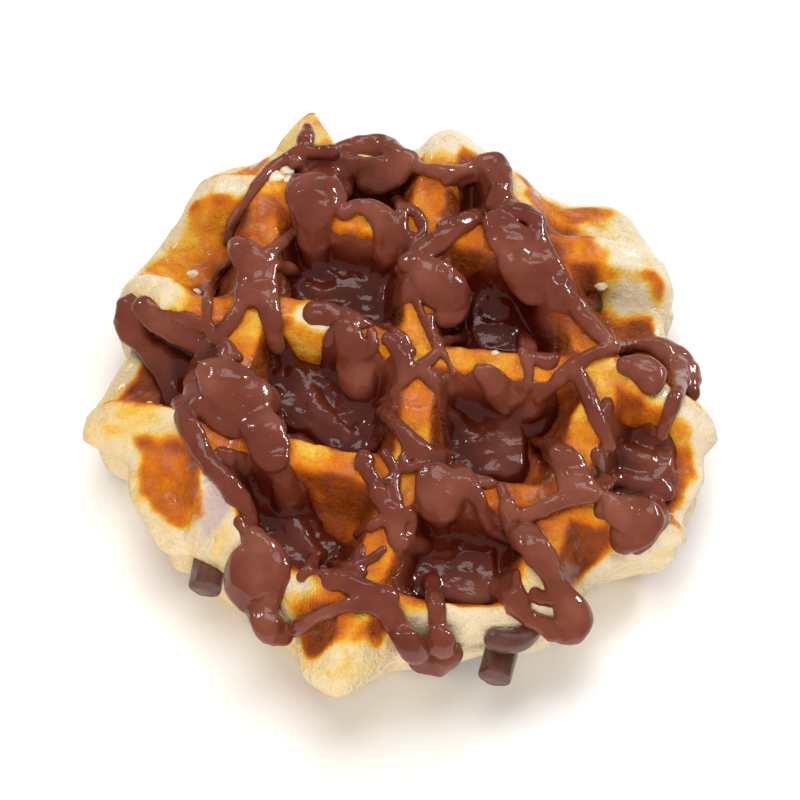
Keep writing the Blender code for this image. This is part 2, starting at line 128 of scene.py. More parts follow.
# Ridges of the net in mm: rows from back to front, then columns from left to right
RIDGES = [
    [(-21, 59), (-14, 55), (-6, 52.5), (2, 53), (9.5, 58), (17, 54)],
    [(-39, 46), (-26, 43), (-10, 36), (8, 33), (23, 29), (38, 28), (51, 27)],
    [(-53, 23), (-45, 19.5), (-37, 14), (-18, 14), (1, 5), (23, 1), (38, 0), (47.5, -4), (59, -9)],
    [(-58.5, -7.5), (-47.5, -10), (-35, -14), (-10, -21), (16, -27), (38, -31), (45.5, -33), (52, -34.5)],
    [(-33, -39), (-26, -44), (-16, -48), (3, -53), (25, -54), (33, -50)],
    [(-17.5, 65), (-22, 53), (-25, 44), (-28, 17), (-34, -13), (-34, -29), (-31, -39)],
    [(10, 59.5), (8, 50), (5, 34), (3, -6), (1, -24), (-7, -49), (-9.5, -59), (-10.5, -64)],
    [(18.5, 53), (27, 26), (38, 1), (35, -13), (25, -45), (23, -52)],
]


def smooth_step(value):
    value = np.clip(value, 0.0, 1.0)
    return value * value * (3.0 - 2.0 * value)


def lumps(x, y, z, span, seed):
    """Smooth noise from -1 to 1 with lumps about one span across."""
    cell = np.stack([x, y, z], axis=-1) / span + seed * 17.31
    low = np.floor(cell).astype(np.int64)
    part = smooth_step(cell - low)
    total = np.zeros(cell.shape[:-1])
    for corner in itertools.product((0, 1), repeat=3):
        spot = low + np.array(corner)
        mixed = spot[..., 0] * 73856093 ^ spot[..., 1] * 19349663 ^ spot[..., 2] * 83492791
        mixed = (mixed ^ (mixed >> 13)) * 1274126177
        value = ((mixed ^ (mixed >> 16)) & 0xFFFF) / 0xFFFF
        weight = np.prod(np.where(np.array(corner) == 1, part, 1.0 - part), axis=-1)
        total += value * weight
    return total * 2.0 - 1.0


def spline(points, step, closed=False):
    """Places about a step apart on a smooth curve through the given points."""
    points = np.array(points, dtype=float)
    if closed:
        knots = np.vstack([points[-1:], points, points[:2]])
    else:
        knots = np.vstack([2 * points[0] - points[1], points, 2 * points[-1] - points[-2]])
    path = []
    for before, start, end, after in zip(knots, knots[1:], knots[2:], knots[3:]):
        count = max(1, int(np.ceil(np.linalg.norm(end - start) / step)))
        for t in np.arange(count) / count:
            path.append(0.5 * (2 * start + (end - before) * t
                               + (2 * before - 5 * start + 4 * end - after) * t * t
                               + (3 * start - before - 3 * end + after) * t ** 3))
    if not closed:
        path.append(points[-1])
    return np.array(path)


rim_line = spline(np.array(RIM) * MM, 0.5 * MM, closed=True)
rim_angles = np.arctan2(rim_line[:, 1], rim_line[:, 0])
rim_order = np.argsort(rim_angles)
rim_angles = rim_angles[rim_order]
rim_reach = np.hypot(rim_line[:, 0], rim_line[:, 1])[rim_order]


def rim_radius(angle):
    """The rim's distance from the centre for an angle in plan."""
    return np.interp(angle, rim_angles, rim_reach, period=2 * math.pi)


def distance_to_path(x, y, path):
    """Distance from places in plan to a line of points."""
    nearest = np.full(x.shape, 1.0)
    for start, end in zip(path, path[1:]):
        run = end[:2] - start[:2]
        along = np.clip(((x - start[0]) * run[0] + (y - start[1]) * run[1]) / (run @ run), 0.0, 1.0)
        distance = np.hypot(x - start[0] - along * run[0], y - start[1] - along * run[1])
        nearest = np.minimum(nearest, distance)
    return nearest


ridge_paths = [spline(np.array(line) * MM, 4 * MM) for line in RIDGES]


def net(x, y):
    """How far up a ridge a place lies: 0 on a pocket's floor and 1 on a ridge's land."""
    open_share = np.ones(x.shape)
    wander = 0.5 * MM * lumps(x, y, x * 0, 6 * MM, 3)
    for path in ridge_paths:
        beyond = np.clip((distance_to_path(x, y, path) + wander - RIDGE_LAND) / RIDGE_WALL, 0.0, 1.0)
        open_share *= 1.0 - 0.5 * (1.0 + np.cos(math.pi * beyond))
    return 1.0 - open_share


def ridge_distance(x, y):
    """Distance in plan to the middle of the nearest ridge."""
    return np.min([distance_to_path(x, y, path) for path in ridge_paths], axis=0)


def edge_blend(share):
    inward = np.clip((1.0 - share) / EDGE_ROUND, 0.0, 1.0)
    return np.sqrt(np.maximum(0.0, 1.0 - (1.0 - inward) ** 2))


def ridge_height(share):
    return RIM_HEIGHT + (1.0 - RIM_HEIGHT) * smooth_step((1.0 - share) / RIM_FADE)


def plan_share(x, y):
    """0 at the centre and 1 at the rim."""
    return np.hypot(x, y) / rim_radius(np.arctan2(y, x))


def crust(x, y, z, seed):
    """Unevenness of the baked skin: swells, then lumps, creases and grain."""
    creases = 1.0 - np.abs(lumps(x, y, z, CREASE_SPAN, seed + 3)) * 3.0
    layers = sum(depth * MM * lumps(x, y, z, span * MM, seed + number)
                 for number, (depth, span) in enumerate(CRUST_LAYERS))
    return layers - CREASE_DEPTH * np.maximum(0.0, creases)


def upper_face(x, y, share):
    relief = UPPER_FLOOR + (THICKNESS - UPPER_FLOOR) * net(x, y) * ridge_height(share)
    relief = relief + crust(x, y, x * 0, 11)
    inside = UPPER_LIP + (relief - UPPER_LIP) * edge_blend(share)
    return inside - np.maximum(0.0, share - 1.0) * OUTER_DROP


def lower_face(x, y, share):
    relief = LOWER_FLOOR - (LOWER_FLOOR + BASE_TRIM) * net(x, y) * ridge_height(share) ** 0.25
    relief = relief + 0.6 * crust(x, y, x * 0, 23)
    return np.maximum(0.0, LOWER_LIP + (relief - LOWER_LIP) * edge_blend(share))


def bell(angle, middle, spread):
    """1 at the middle angle, falling off over the spread on either side."""
    away = (angle - middle + math.pi) % (2 * math.pi) - math.pi
    return np.exp(-((away / spread) ** 2))


def spot_share(x, y, spot, ragged):
    """1 inside a turned oval spot with a ragged edge, and 0 outside."""
    spot_x, spot_y, half_x, half_y, turned = spot
    turned = math.radians(turned)
    off_x, off_y = x - spot_x * MM, y - spot_y * MM
    along = (off_x * math.cos(turned) + off_y * math.sin(turned)) / (half_x * MM)
    across = (off_y * math.cos(turned) - off_x * math.sin(turned)) / (half_y * MM)
    return 1.0 - smooth_step((np.hypot(along, across) + ragged - 0.55) / 0.7)


def ring_mesh(name, rings, first, last):
    """A closed mesh from equal rings of points with a point at each end."""
    count, columns = rings.shape[:2]
    places = np.vstack([rings.reshape(-1, 3), first, last])
    low = np.arange((count - 1) * columns).reshape(count - 1, columns)
    beside = np.roll(low, -1, axis=1)
    quads = np.stack([low, low + columns, beside + columns, beside], axis=-1).reshape(-1, 4)
    column = np.arange(columns)
    following = np.roll(column, -1)
    top, bottom = count * columns, count * columns + 1
    low = (count - 1) * columns
    tops = np.stack([np.full(columns, top), column, following], axis=-1)
    bottoms = np.stack([np.full(columns, bottom), low + following, low + column], axis=-1)
    mesh = bpy.data.meshes.new(name)
    mesh.from_pydata(places.tolist(), [], quads.tolist() + tops.tolist() + bottoms.tolist())
    mesh.shade_smooth()
    return mesh


def new_piece(name, mesh):
    made = bpy.data.objects.new(name, mesh)
    bpy.context.scene.collection.objects.link(made)
    return made


def store(mesh, name, values):
    """Keeps a value for each point, for the piece's material to read."""
    layer = mesh.attributes.new(name, "FLOAT", "POINT")
    layer.data.foreach_set("value", np.asarray(values, dtype=np.float32))


def mesh_places(mesh):
    places = np.empty(len(mesh.vertices) * 3)
    mesh.vertices.foreach_get("co", places)
    return places.reshape(-1, 3)


def make_dough_mesh():
    angle = np.arange(RIM_COLUMNS) / RIM_COLUMNS * 2 * math.pi - math.pi
    edge = rim_radius(angle)
    edge = edge + 0.35 * MM * lumps(edge * np.cos(angle), edge * np.sin(angle), angle * 0, 3.2 * MM, 31)
    inset = sum(depth * MM * bell(angle, math.radians(middle), math.radians(spread))
                for middle, spread, depth in INSETS)
    front = bell(angle, FRONT_ANGLE, FRONT_SPREAD)
    rings = []
    facts = []
    for share in (np.arange(TOP_RINGS) + 1) / TOP_RINGS:
        x, y = edge * share * np.cos(angle), edge * share * np.sin(angle)
        whole = np.full(x.shape, share)
        rings.append(np.stack([x, y, upper_face(x, y, whole)], axis=-1))
        facts.append((ridge_distance(x, y), edge * (1.0 - share), np.zeros(x.shape)))
    for down in (np.arange(SIDE_RINGS) + 1) / (SIDE_RINGS + 1):
        groove = (GROOVE + FRONT_GROOVE * front) * math.sin(math.pi * down)
        reach = edge - inset * smooth_step(down) - groove
        x, y = reach * np.cos(angle), reach * np.sin(angle)
        z = np.full(x.shape, UPPER_LIP + (LOWER_LIP - UPPER_LIP) * down)
        swell = 1.0 + (crust(x, y, z, 41) * 0.9) / reach
        rings.append(np.stack([x * swell, y * swell, z], axis=-1))
        facts.append((ridge_distance(x, y), np.zeros(x.shape), np.full(x.shape, math.sin(math.pi * down))))
    for share in 1.0 - np.arange(BASE_RINGS) / BASE_RINGS:
        reach = (edge - inset) * share
        x, y = reach * np.cos(angle), reach * np.sin(angle)
        whole = np.full(x.shape, share)
        rings.append(np.stack([x, y, lower_face(x, y, whole)], axis=-1))
        facts.append((ridge_distance(x, y), edge * (1.0 - share), np.zeros(x.shape)))
    rings = np.array(rings)
    centre = np.zeros(1)
    first = (0, 0, upper_face(centre, centre, centre)[0])
    last = (0, 0, lower_face(centre, centre, centre)[0])
    mesh = ring_mesh("dough", rings, first, last)
    facts = np.array(facts).transpose(1, 0, 2).reshape(3, -1)
    return mesh, np.hstack([facts, facts[:, [0, -1]]])


dough_mesh, (ridge_gap, rim_gap, dough_side) = make_dough_mesh()
px, py, pz = mesh_places(dough_mesh).T

# Browning: strong on the pocket floors and darkest where they meet the walls, middling on
# the ridges of the middle, faint on the ridges near the rim and on the free rim itself
broad = lumps(px, py, pz, 9 * MM, 51)
fine = lumps(px, py, pz, 3.0 * MM, 52)
mottle = 0.6 * lumps(px, py, pz, 1.6 * MM, 53) + 0.4 * lumps(px, py, pz, 0.8 * MM, 54)
around = np.arctan2(py, px)
rim_width = FREE_RIM + sum(width * MM * bell(around, math.radians(middle), math.radians(spread))
                           for middle, spread, width in FREE_RIM_BULGES)
free_rim = 1.0 - smooth_step((rim_gap - rim_width + 1.2 * MM * broad + 0.7 * MM * fine) / (2.0 * MM))
outer = 1.0 - smooth_step((rim_gap - 8 * MM + 3 * MM * broad) / (9 * MM))
raised = 1.0 - smooth_step((ridge_gap - 1.9 * MM + 0.9 * MM * fine) / (2.0 * MM))
ridge_brown = 0.50 + 0.20 * broad - 0.35 * outer
pocket_brown = 0.76 + 0.10 * broad - 0.20 * outer
foot_brown = 0.16 * np.exp(-(((ridge_gap - 3.8 * MM) / (1.1 * MM)) ** 2))
browning = pocket_brown + foot_brown + (ridge_brown - pocket_brown - foot_brown) * raised
for *spot, change in BROWN_SPOTS:
    browning += change * spot_share(px, py, spot, 0.22 * fine + 0.10 * mottle) * (pz > SPOT_LEVEL)
pale = 0.13 - 0.11 * smooth_step(px / (60 * MM) + 0.5) + 0.05 * broad
browning = browning + (pale - browning) * free_rim + 0.06 * fine + 0.07 * mottle
browning = np.clip(browning * (1.0 - dough_side) + 0.12 * dough_side, 0.0, DARKEST)
store(dough_mesh, "browning", browning)
# Painted sheen: a pale patch on the wall of a pocket at the left front
store(dough_mesh, "painted_sheen", spot_share(px, py, PAINTED_SHEEN_SPOT, 0.3 * fine + 0.3 * mottle) * (pz > SPOT_LEVEL))

dough = new_piece("dough_body", dough_mesh)


def material(name):
    """A new material with its node tree, and its shader."""
    made = bpy.data.materials.new(name)
    made.use_nodes = True
    return made, made.node_tree.nodes, made.node_tree.links, made.node_tree.nodes["Principled BSDF"]


def noise_texture(nodes, links, scale, detail, roughness=0.5):
    """Noise in the object's own coordinates."""
    place = nodes.new("ShaderNodeTexCoord")
    texture = nodes.new("ShaderNodeTexNoise")
    texture.inputs["Scale"].default_value = scale
    texture.inputs["Detail"].default_value = detail
    texture.inputs["Roughness"].default_value = roughness
    links.new(place.outputs["Object"], texture.inputs["Vector"])
    return texture


def ramp(nodes, stops):
    """A colour ramp from (place, (r, g, b)) stops."""
    made = nodes.new("ShaderNodeValToRGB")
    made.color_ramp.elements[0].position = stops[0][0]
    made.color_ramp.elements[0].color = (*stops[0][1], 1)
    made.color_ramp.elements[1].position = stops[-1][0]
    made.color_ramp.elements[1].color = (*stops[-1][1], 1)
    for position, colour in stops[1:-1]:
        made.color_ramp.elements.new(position).color = (*colour, 1)
    return made


def add_scaled(nodes, links, base, extra, amount):
    """base + (extra - 0.5) * amount."""
    centred = nodes.new("ShaderNodeMath")
    centred.operation = "MULTIPLY_ADD"
    centred.inputs[1].default_value = amount
    centred.inputs[2].default_value = -0.5 * amount
    links.new(extra, centred.inputs[0])
    total = nodes.new("ShaderNodeMath")
    links.new(base, total.inputs[0])
    links.new(centred.outputs[0], total.inputs[1])
    return total.outputs[0]


def mixed(nodes, links, how, attribute, base, colour):
    """A colour mixed into the base by as much as a stored value says."""
    amount = nodes.new("ShaderNodeAttribute")
    amount.attribute_name = attribute
    mix = nodes.new("ShaderNodeMix")
    mix.data_type = "RGBA"
    mix.blend_type = how
    links.new(amount.outputs["Fac"], mix.inputs[0])
    links.new(base, mix.inputs[6])
    mix.inputs[7].default_value = (*colour, 1)
    return mix.outputs[2]


def bump(nodes, links, height, distance, strength, normal=None):
    made = nodes.new("ShaderNodeBump")
    made.inputs["Strength"].default_value = strength
    made.inputs["Distance"].default_value = distance
    links.new(height, made.inputs["Height"])
    if normal:
        links.new(normal, made.inputs["Normal"])
    return made.outputs["Normal"]


def make_dough_finish():
    finish, nodes, links, shader = material("baked_dough")
    brown = nodes.new("ShaderNodeAttribute")
    brown.attribute_name = "browning"
    patches = noise_texture(nodes, links, 240, 6, 0.62)
    grain = noise_texture(nodes, links, 1500, 4, 0.6)
    level = add_scaled(nodes, links, brown.outputs["Fac"], patches.outputs["Fac"], 0.44)
    level = add_scaled(nodes, links, level, grain.outputs["Fac"], 0.16)
    colours = ramp(nodes, [
        (0.00, (0.74, 0.62, 0.44)),
        (0.12, (0.72, 0.565, 0.32)),
        (0.26, (0.73, 0.450, 0.056)),
        (0.40, (0.66, 0.235, 0.010)),
        (0.56, (0.55, 0.135, 0.005)),
        (0.76, (0.30, 0.060, 0.006)),
        (1.00, (0.09, 0.016, 0.004)),
    ])
    links.new(level, colours.inputs["Fac"])
    # Painted sheen: the colour is mixed towards a pale pinkish grey in one patch
    sheened = mixed(nodes, links, "MIX", "painted_sheen", colours.outputs["Color"], (0.52, 0.40, 0.36))
    # Partly a sauce stain and partly painted shade deep in the pockets, multiplied into the colour
    stained_and_shaded = mixed(nodes, links, "MULTIPLY", "stain_and_shade", sheened, (0.42, 0.22, 0.16))
    links.new(stained_and_shaded, shader.inputs["Base Color"])
    gloss = ramp(nodes, [(0.3, (0.58, 0.58, 0.58)), (0.75, (0.36, 0.36, 0.36))])
    links.new(level, gloss.inputs["Fac"])
    links.new(gloss.outputs["Color"], shader.inputs["Roughness"])
    shader.inputs["Specular IOR Level"].default_value = 0.18
    glaze = ramp(nodes, [(0.46, (0, 0, 0)), (0.58, (0.75, 0.75, 0.75))])
    links.new(patches.outputs["Fac"], glaze.inputs["Fac"])
    links.new(glaze.outputs["Color"], shader.inputs["Coat Weight"])
    shader.inputs["Coat Roughness"].default_value = 0.16
    shader.inputs["Subsurface Weight"].default_value = 0.10
    shader.inputs["Subsurface Radius"].default_value = (1.0, 0.5, 0.2)
    shader.inputs["Subsurface Scale"].default_value = 0.002
    rough = bump(nodes, links, grain.outputs["Fac"], 0.0006, 0.6)
    pits = bump(nodes, links, patches.outputs["Fac"], 0.0028, 0.75, rough)
    links.new(pits, shader.inputs["Normal"])
    return finish


dough_mesh.materials.append(make_dough_finish())
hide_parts("waffle")
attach(dough, "root")


# Sauce
# Thick milk chocolate sauce, poured back and forth from a bottle while warm. It drapes
# over the ridges, runs down their walls, pools in the pockets and sets with a wet gloss.

# How the photo shows the waffle: the pixel of its middle, a pixel's size and the eye's height angle
PHOTO_MIDDLE = (400.5, 448.5)
PIXEL = 0.19 * MM
CAMERA_ANGLE = math.radians(56)

# Where each strand shows, as (across, down, width) in pixels, with a height in mm where it hangs
# free. The number before them tells how far the strand is pulled taut over the pockets.
STRANDS = {
    "spike_patch": (0, [(306, 124, 9), (305, 134, 15), (306, 148, 16)]),
    "thin_left_top": (3, [(332, 149, 12), (318, 149, 12), (300, 149, 12), (285, 156, 12),
        (271, 167, 11), (261, 177, 10), (252, 189, 10), (245, 201, 9), (238, 213, 9), (230, 226, 10),
        (228, 240, 11)]),
    "dark_puddle": (0, [(294, 160, 12), (303, 162, 18), (311, 160, 14)]),
    "back_fold": (4, [(328, 165, 26), (322, 178, 44), (317, 194, 46), (314, 210, 38), (314, 228, 34),
        (314, 246, 30), (318, 262, 26)]),
    "back_fold_edge": (4, [(342, 170, 16), (347, 182, 14), (340, 196, 12), (332, 208, 10)]),
    "back_fold_left": (3, [(297, 178, 12), (291, 192, 12), (297, 206, 12), (299, 222, 12)]),
    "back_arch": (20, [(334, 150, 13, 23.5), (348, 146, 20, 23), (364, 144, 25, 22.5),
        (378, 143, 25, 22.5), (392, 146, 19, 23.5), (404, 152, 16, 25.5)]),
    "arch_front": (6, [(410, 155, 18), (397, 164, 32), (383, 175, 36), (370, 181, 24)]),
    "arch_neck": (4, [(392, 182, 22), (396, 195, 13), (402, 208, 10), (404, 224, 9), (402, 240, 10)]),
    "arch_side": (4, [(403, 205, 8), (414, 210, 11), (422, 219, 12), (424, 231, 9), (414, 241, 8)]),
    "back_ring": (8, [(344, 213, 11), (354, 206, 13), (367, 206, 17), (381, 213, 21), (391, 226, 22),
        (393, 242, 23), (387, 257, 22), (380, 270, 16), (377, 286, 11)]),
    "ring_inner": (4, [(372, 214, 10), (378, 228, 10), (380, 244, 10), (377, 256, 8)]),
    "top_right": (5, [(412, 160, 14), (426, 167, 14), (442, 170, 15), (458, 170, 16), (474, 166, 17),
        (488, 160, 18), (498, 160, 20), (503, 172, 20), (503, 188, 19), (498, 202, 20)]),
    "top_right_low": (5, [(446, 180, 6), (462, 179, 7), (478, 176, 8), (490, 170, 9)]),
    "bridge": (8, [(408, 262, 18), (420, 254, 20), (432, 246, 22), (443, 238, 20), (453, 230, 18),
        (464, 223, 20), (478, 218, 22), (492, 216, 22), (508, 213, 20), (524, 212, 20),
        (536, 218, 18)]),
    "bridge_edge": (8, [(440, 226, 8), (452, 220, 9), (465, 217, 9), (480, 208, 9), (500, 205, 10),
        (518, 206, 10)]),
    "right_drape": (5, [(498, 222, 26), (508, 236, 38), (518, 248, 46), (524, 262, 46), (528, 276, 40),
        (534, 290, 30)]),
    "right_drape_edge": (5, [(538, 222, 14), (540, 236, 16), (545, 250, 18), (552, 262, 18),
        (558, 276, 18), (562, 290, 16), (572, 302, 12)]),
    "right_drape_fold": (5, [(500, 232, 10), (512, 236, 12), (526, 236, 12), (538, 232, 10)]),
    "centre_plate": (5, [(410, 262, 18), (424, 268, 30), (438, 282, 42), (446, 296, 46), (448, 307, 38),
        (442, 317, 22)]),
    "centre_plate_edge": (5, [(446, 262, 10), (449, 274, 10), (457, 284, 12), (466, 295, 12),
        (463, 308, 12), (452, 317, 10), (440, 320, 8)]),
    "centre_thin_a": (6, [(398, 268, 7), (408, 284, 8), (416, 300, 7), (423, 316, 6), (430, 332, 6),
        (437, 345, 8)]),
    "centre_thin_b": (6, [(431, 318, 6), (432, 330, 6), (438, 342, 8)]),
    "centre_band": (8, [(438, 346, 9), (450, 341, 11), (464, 337, 12), (478, 331, 13), (490, 321, 15),
        (499, 309, 17), (508, 306, 15), (514, 318, 14), (521, 332, 15), (528, 346, 15),
        (530, 360, 12)]),
    "ridge_line": (3, [(441, 348, 7), (447, 360, 5), (454, 374, 5)]),
    "right_drop": (3, [(575, 308, 12), (584, 318, 15), (594, 329, 15), (603, 339, 14), (609, 347, 13)]),
    "ring_bridge": (6, [(612, 348, 14), (598, 353, 12), (584, 359, 11), (572, 366, 14), (562, 376, 15),
        (550, 388, 11), (538, 399, 8)]),
    "ring_leg": (6, [(572, 368, 14), (581, 382, 14), (588, 396, 14), (593, 412, 14), (600, 428, 14),
        (607, 444, 13)]),
    "ring_right": (8, [(610, 347, 13), (628, 345, 13), (646, 344, 15), (662, 349, 17), (674, 362, 19),
        (678, 378, 18), (674, 394, 15), (669, 408, 13), (664, 422, 12), (660, 436, 10)]),
    "ring_outer": (3, [(664, 350, 24), (678, 360, 30), (686, 376, 28), (689, 392, 20)]),
    "ring_island": (3, [(626, 366, 18), (638, 368, 26), (648, 376, 28), (650, 386, 18)]),
    "dark_fold_a": (2, [(620, 452, 14), (634, 458, 20), (648, 462, 16)]),
    "dark_fold_b": (3, [(618, 478, 18), (634, 482, 20), (650, 484, 22), (662, 492, 18)]),
    "round_drop": (3, [(612, 506, 22), (624, 512, 36), (636, 516, 42), (630, 528, 40), (622, 540, 26)]),
    "round_drop_edge": (3, [(648, 498, 14), (658, 508, 14), (658, 520, 12), (648, 534, 12),
        (634, 546, 12)]),
    "wing": (8, [(533, 440, 8), (546, 445, 14), (558, 452, 20), (568, 462, 24), (574, 474, 26),
        (578, 486, 24), (588, 492, 18)]),
    "wing_edge": (8, [(543, 452, 6), (552, 463, 7), (558, 476, 7), (561, 489, 8)]),
    "wing_band": (8, [(522, 514, 14), (536, 509, 15), (552, 502, 17), (568, 496, 18), (582, 491, 20),
        (596, 486, 18), (610, 481, 16), (624, 478, 14)]),
    "node_right": (4, [(506, 504, 14), (512, 518, 20), (520, 530, 28), (530, 540, 30), (538, 552, 26)]),
    "node_thin": (4, [(500, 486, 7), (505, 498, 10), (511, 512, 12)]),
    "node_side": (4, [(510, 536, 12), (500, 532, 12), (490, 526, 11), (484, 514, 11), (478, 500, 12),
        (471, 488, 15), (462, 476, 18)]),
    "right_band": (5, [(540, 556, 24), (546, 568, 22), (552, 580, 22), (560, 592, 25), (567, 603, 29, 20.8),
        (571, 615, 32, 18.8), (568, 625, 28, 17.2)]),
    "band_drip": (10, [(569, 620, 22, 18), (560, 628, 21, 17.5), (548, 626, 16, 19)]),
    "front_blob": (4, [(512, 602, 12), (520, 608, 17), (530, 614, 20), (540, 620, 20)]),
    "dark_band_front": (2, [(486, 577, 16), (497, 586, 18), (508, 594, 16), (520, 602, 14)]),
    "diagonal": (6, [(383, 412, 11), (392, 420, 13), (402, 431, 16), (411, 441, 18), (423, 451, 20),
        (436, 457, 22), (448, 457, 15)]),
    "diagonal_top": (4, [(381, 414, 9), (388, 407, 8), (396, 409, 8)]),
    "diagonal_join": (5, [(412, 450, 14), (404, 461, 12), (410, 468, 10), (424, 462, 14),
        (440, 462, 14)]),
    "square_plate": (6, [(430, 470, 18), (436, 478, 38), (440, 488, 44), (440, 498, 42),
        (438, 506, 34)]),
    "plate_side": (5, [(456, 468, 14), (464, 477, 16), (472, 488, 14)]),
    "plate_neck": (6, [(439, 508, 28), (441, 520, 18), (443, 532, 14), (444, 546, 12)]),
    "right_leg": (6, [(431, 578, 14), (433, 592, 16), (436, 604, 15), (438, 618, 17),
        (441, 630, 20, 22), (442, 640, 24, 19)]),
    "left_leg": (6, [(380, 598, 22), (390, 610, 24), (398, 622, 24), (407, 634, 24, 23.5),
        (416, 645, 26, 19.5)]),
    "round_drip": (6, [(422, 646, 26, 17), (430, 652, 42, 14), (438, 652, 40, 14), (446, 646, 26, 17)]),
    "star_a": (2, [(402, 540, 14), (414, 542, 18), (428, 548, 18), (442, 554, 16)]),
    "star_b": (2, [(482, 548, 10), (470, 548, 16), (456, 553, 16), (444, 556, 14)]),
    "star_c": (2, [(488, 578, 10), (476, 569, 16), (462, 562, 18), (448, 558, 16)]),
    "star_d": (2, [(404, 584, 9), (414, 577, 14), (428, 568, 16), (440, 560, 14)]),
    "finger_a": (4, [(365, 457, 12), (369, 470, 14), (375, 483, 16), (381, 496, 18), (388, 507, 16)]),
    "finger_b": (4, [(386, 452, 8), (391, 462, 10), (395, 474, 10), (394, 488, 12), (397, 502, 12)]),
    "finger_tip": (3, [(360, 464, 7), (364, 455, 11), (370, 459, 9)]),
    "finger_join": (4, [(388, 480, 8), (396, 472, 9), (404, 463, 9)]),
    "finger_web": (5, [(358, 532, 7), (372, 524, 9), (386, 517, 10), (398, 511, 12), (410, 513, 11),
        (412, 522, 9), (408, 534, 8)]),
    "low_web": (4, [(350, 564, 9), (362, 560, 8), (374, 554, 8), (384, 546, 7)]),
    "droplet": (0, [(339, 469, 8), (339, 480, 9)]),
    "arc_thin": (2, [(311, 478, 8), (315, 467, 9), (323, 459, 9), (332, 456, 7)]),
    "front_rope": (5, [(278, 634, 15), (290, 627, 14), (304, 621, 14), (318, 613, 12), (334, 606, 11),
        (350, 601, 14), (364, 598, 18), (378, 595, 22), (390, 592, 18)]),
    "rope_plate": (4, [(340, 574, 14), (352, 580, 20), (366, 586, 22), (380, 590, 20)]),
    "rope_low": (4, [(360, 604, 8), (370, 604, 10), (380, 606, 12)]),
    "left_lump": (4, [(256, 534, 20), (264, 546, 28), (262, 560, 48), (256, 574, 50), (256, 588, 42)]),
    "left_lump_right": (4, [(270, 552, 20), (280, 564, 22), (280, 578, 18), (276, 592, 18),
        (272, 604, 18)]),
    "left_lump_drip": (4, [(262, 600, 26), (268, 614, 26, 20), (276, 626, 26, 18), (284, 632, 20, 18)]),
    "left_column": (5, [(272, 460, 24), (284, 472, 22), (289, 486, 26), (291, 502, 28), (292, 516, 26),
        (298, 530, 22), (308, 543, 18), (318, 553, 13)]),
    "low_wave": (3, [(312, 548, 12), (322, 556, 12), (334, 562, 12), (346, 563, 10)]),
    "low_wave_b": (3, [(318, 556, 10), (310, 566, 10), (304, 574, 8)]),
    "left_tail": (5, [(182, 405, 18), (191, 424, 19), (200, 442, 19), (208, 456, 18), (218, 469, 19),
        (230, 482, 20), (241, 496, 21), (249, 510, 19), (254, 522, 14)]),
    "left_band_a": (4, [(134, 310, 38), (140, 326, 44), (150, 342, 36), (160, 358, 30), (168, 374, 24),
        (172, 390, 18), (178, 404, 16)]),
    "left_band_b": (4, [(148, 308, 26), (162, 320, 28), (176, 332, 24), (190, 338, 24), (204, 344, 22),
        (214, 346, 16)]),
    "left_band_c": (3, [(172, 350, 30), (184, 360, 26), (194, 368, 22)]),
    "node_left": (4, [(216, 336, 12), (212, 346, 18), (208, 360, 26), (206, 376, 34), (206, 392, 34),
        (208, 406, 28)]),
    "left_sheet": (5, [(214, 372, 30), (228, 386, 44), (244, 396, 50), (258, 402, 40), (270, 398, 20)]),
    "left_sheet_edge": (5, [(222, 364, 10), (238, 370, 11), (254, 380, 12), (268, 390, 12),
        (278, 395, 10)]),
    "left_sheet_low": (5, [(252, 414, 34), (264, 428, 34), (270, 442, 34), (274, 456, 30)]),
    "left_sheet_side": (5, [(274, 402, 12), (277, 416, 14), (280, 432, 14), (284, 446, 12)]),
    "star_plate": (4, [(238, 246, 22), (248, 256, 32), (256, 268, 34), (256, 282, 36), (252, 292, 30)]),
    "star_arm_b": (4, [(264, 260, 18), (274, 250, 13), (283, 240, 11), (291, 231, 8)]),
    "star_finger": (6, [(262, 286, 26), (268, 300, 22), (272, 316, 20), (274, 332, 18),
        (279, 348, 13)]),
    "star_leg": (5, [(246, 296, 18), (240, 308, 14), (234, 320, 14), (226, 331, 12), (218, 340, 12)]),
    "star_beads": (3, [(266, 272, 10), (276, 266, 10), (288, 268, 12), (298, 276, 10), (310, 282, 8),
        (318, 288, 8)]),
    "thin_left_low": (3, [(231, 261, 7), (222, 271, 9), (214, 284, 9), (209, 299, 9), (208, 315, 8),
        (210, 330, 9)]),
    "mid_plate": (4, [(346, 326, 18), (350, 340, 28), (356, 354, 34), (360, 368, 38), (362, 382, 36),
        (368, 394, 20)]),
    "mid_plate_edge": (4, [(328, 344, 8), (336, 332, 10), (348, 324, 12), (354, 334, 12),
        (358, 346, 10), (366, 354, 10), (374, 346, 9), (372, 332, 8)]),
    "mid_node": (5, [(389, 340, 12), (397, 347, 16), (404, 358, 17), (406, 371, 15), (404, 381, 10)]),
    "mid_node_side": (5, [(406, 378, 10), (417, 370, 13), (428, 362, 11), (438, 352, 8)]),
    "mid_top": (4, [(383, 326, 8), (393, 331, 9), (403, 338, 9), (411, 352, 9)]),
    "mid_tail": (4, [(396, 392, 9), (388, 400, 8), (378, 404, 7)]),
    "leaf": (4, [(479, 371, 9), (488, 379, 20), (496, 390, 24), (501, 401, 20), (505, 409, 12)]),
    "leaf_edge": (4, [(478, 368, 6), (490, 369, 7), (500, 376, 7), (506, 388, 7), (508, 400, 7)]),
    "loop_thin": (4, [(523, 352, 9), (528, 368, 8), (528, 384, 7), (522, 396, 7), (512, 404, 8)]),
    "pool_wave_a": (1, [(296, 374, 16), (304, 388, 22), (314, 402, 20), (324, 416, 18), (336, 427, 12),
        (348, 437, 12), (346, 446, 8)]),
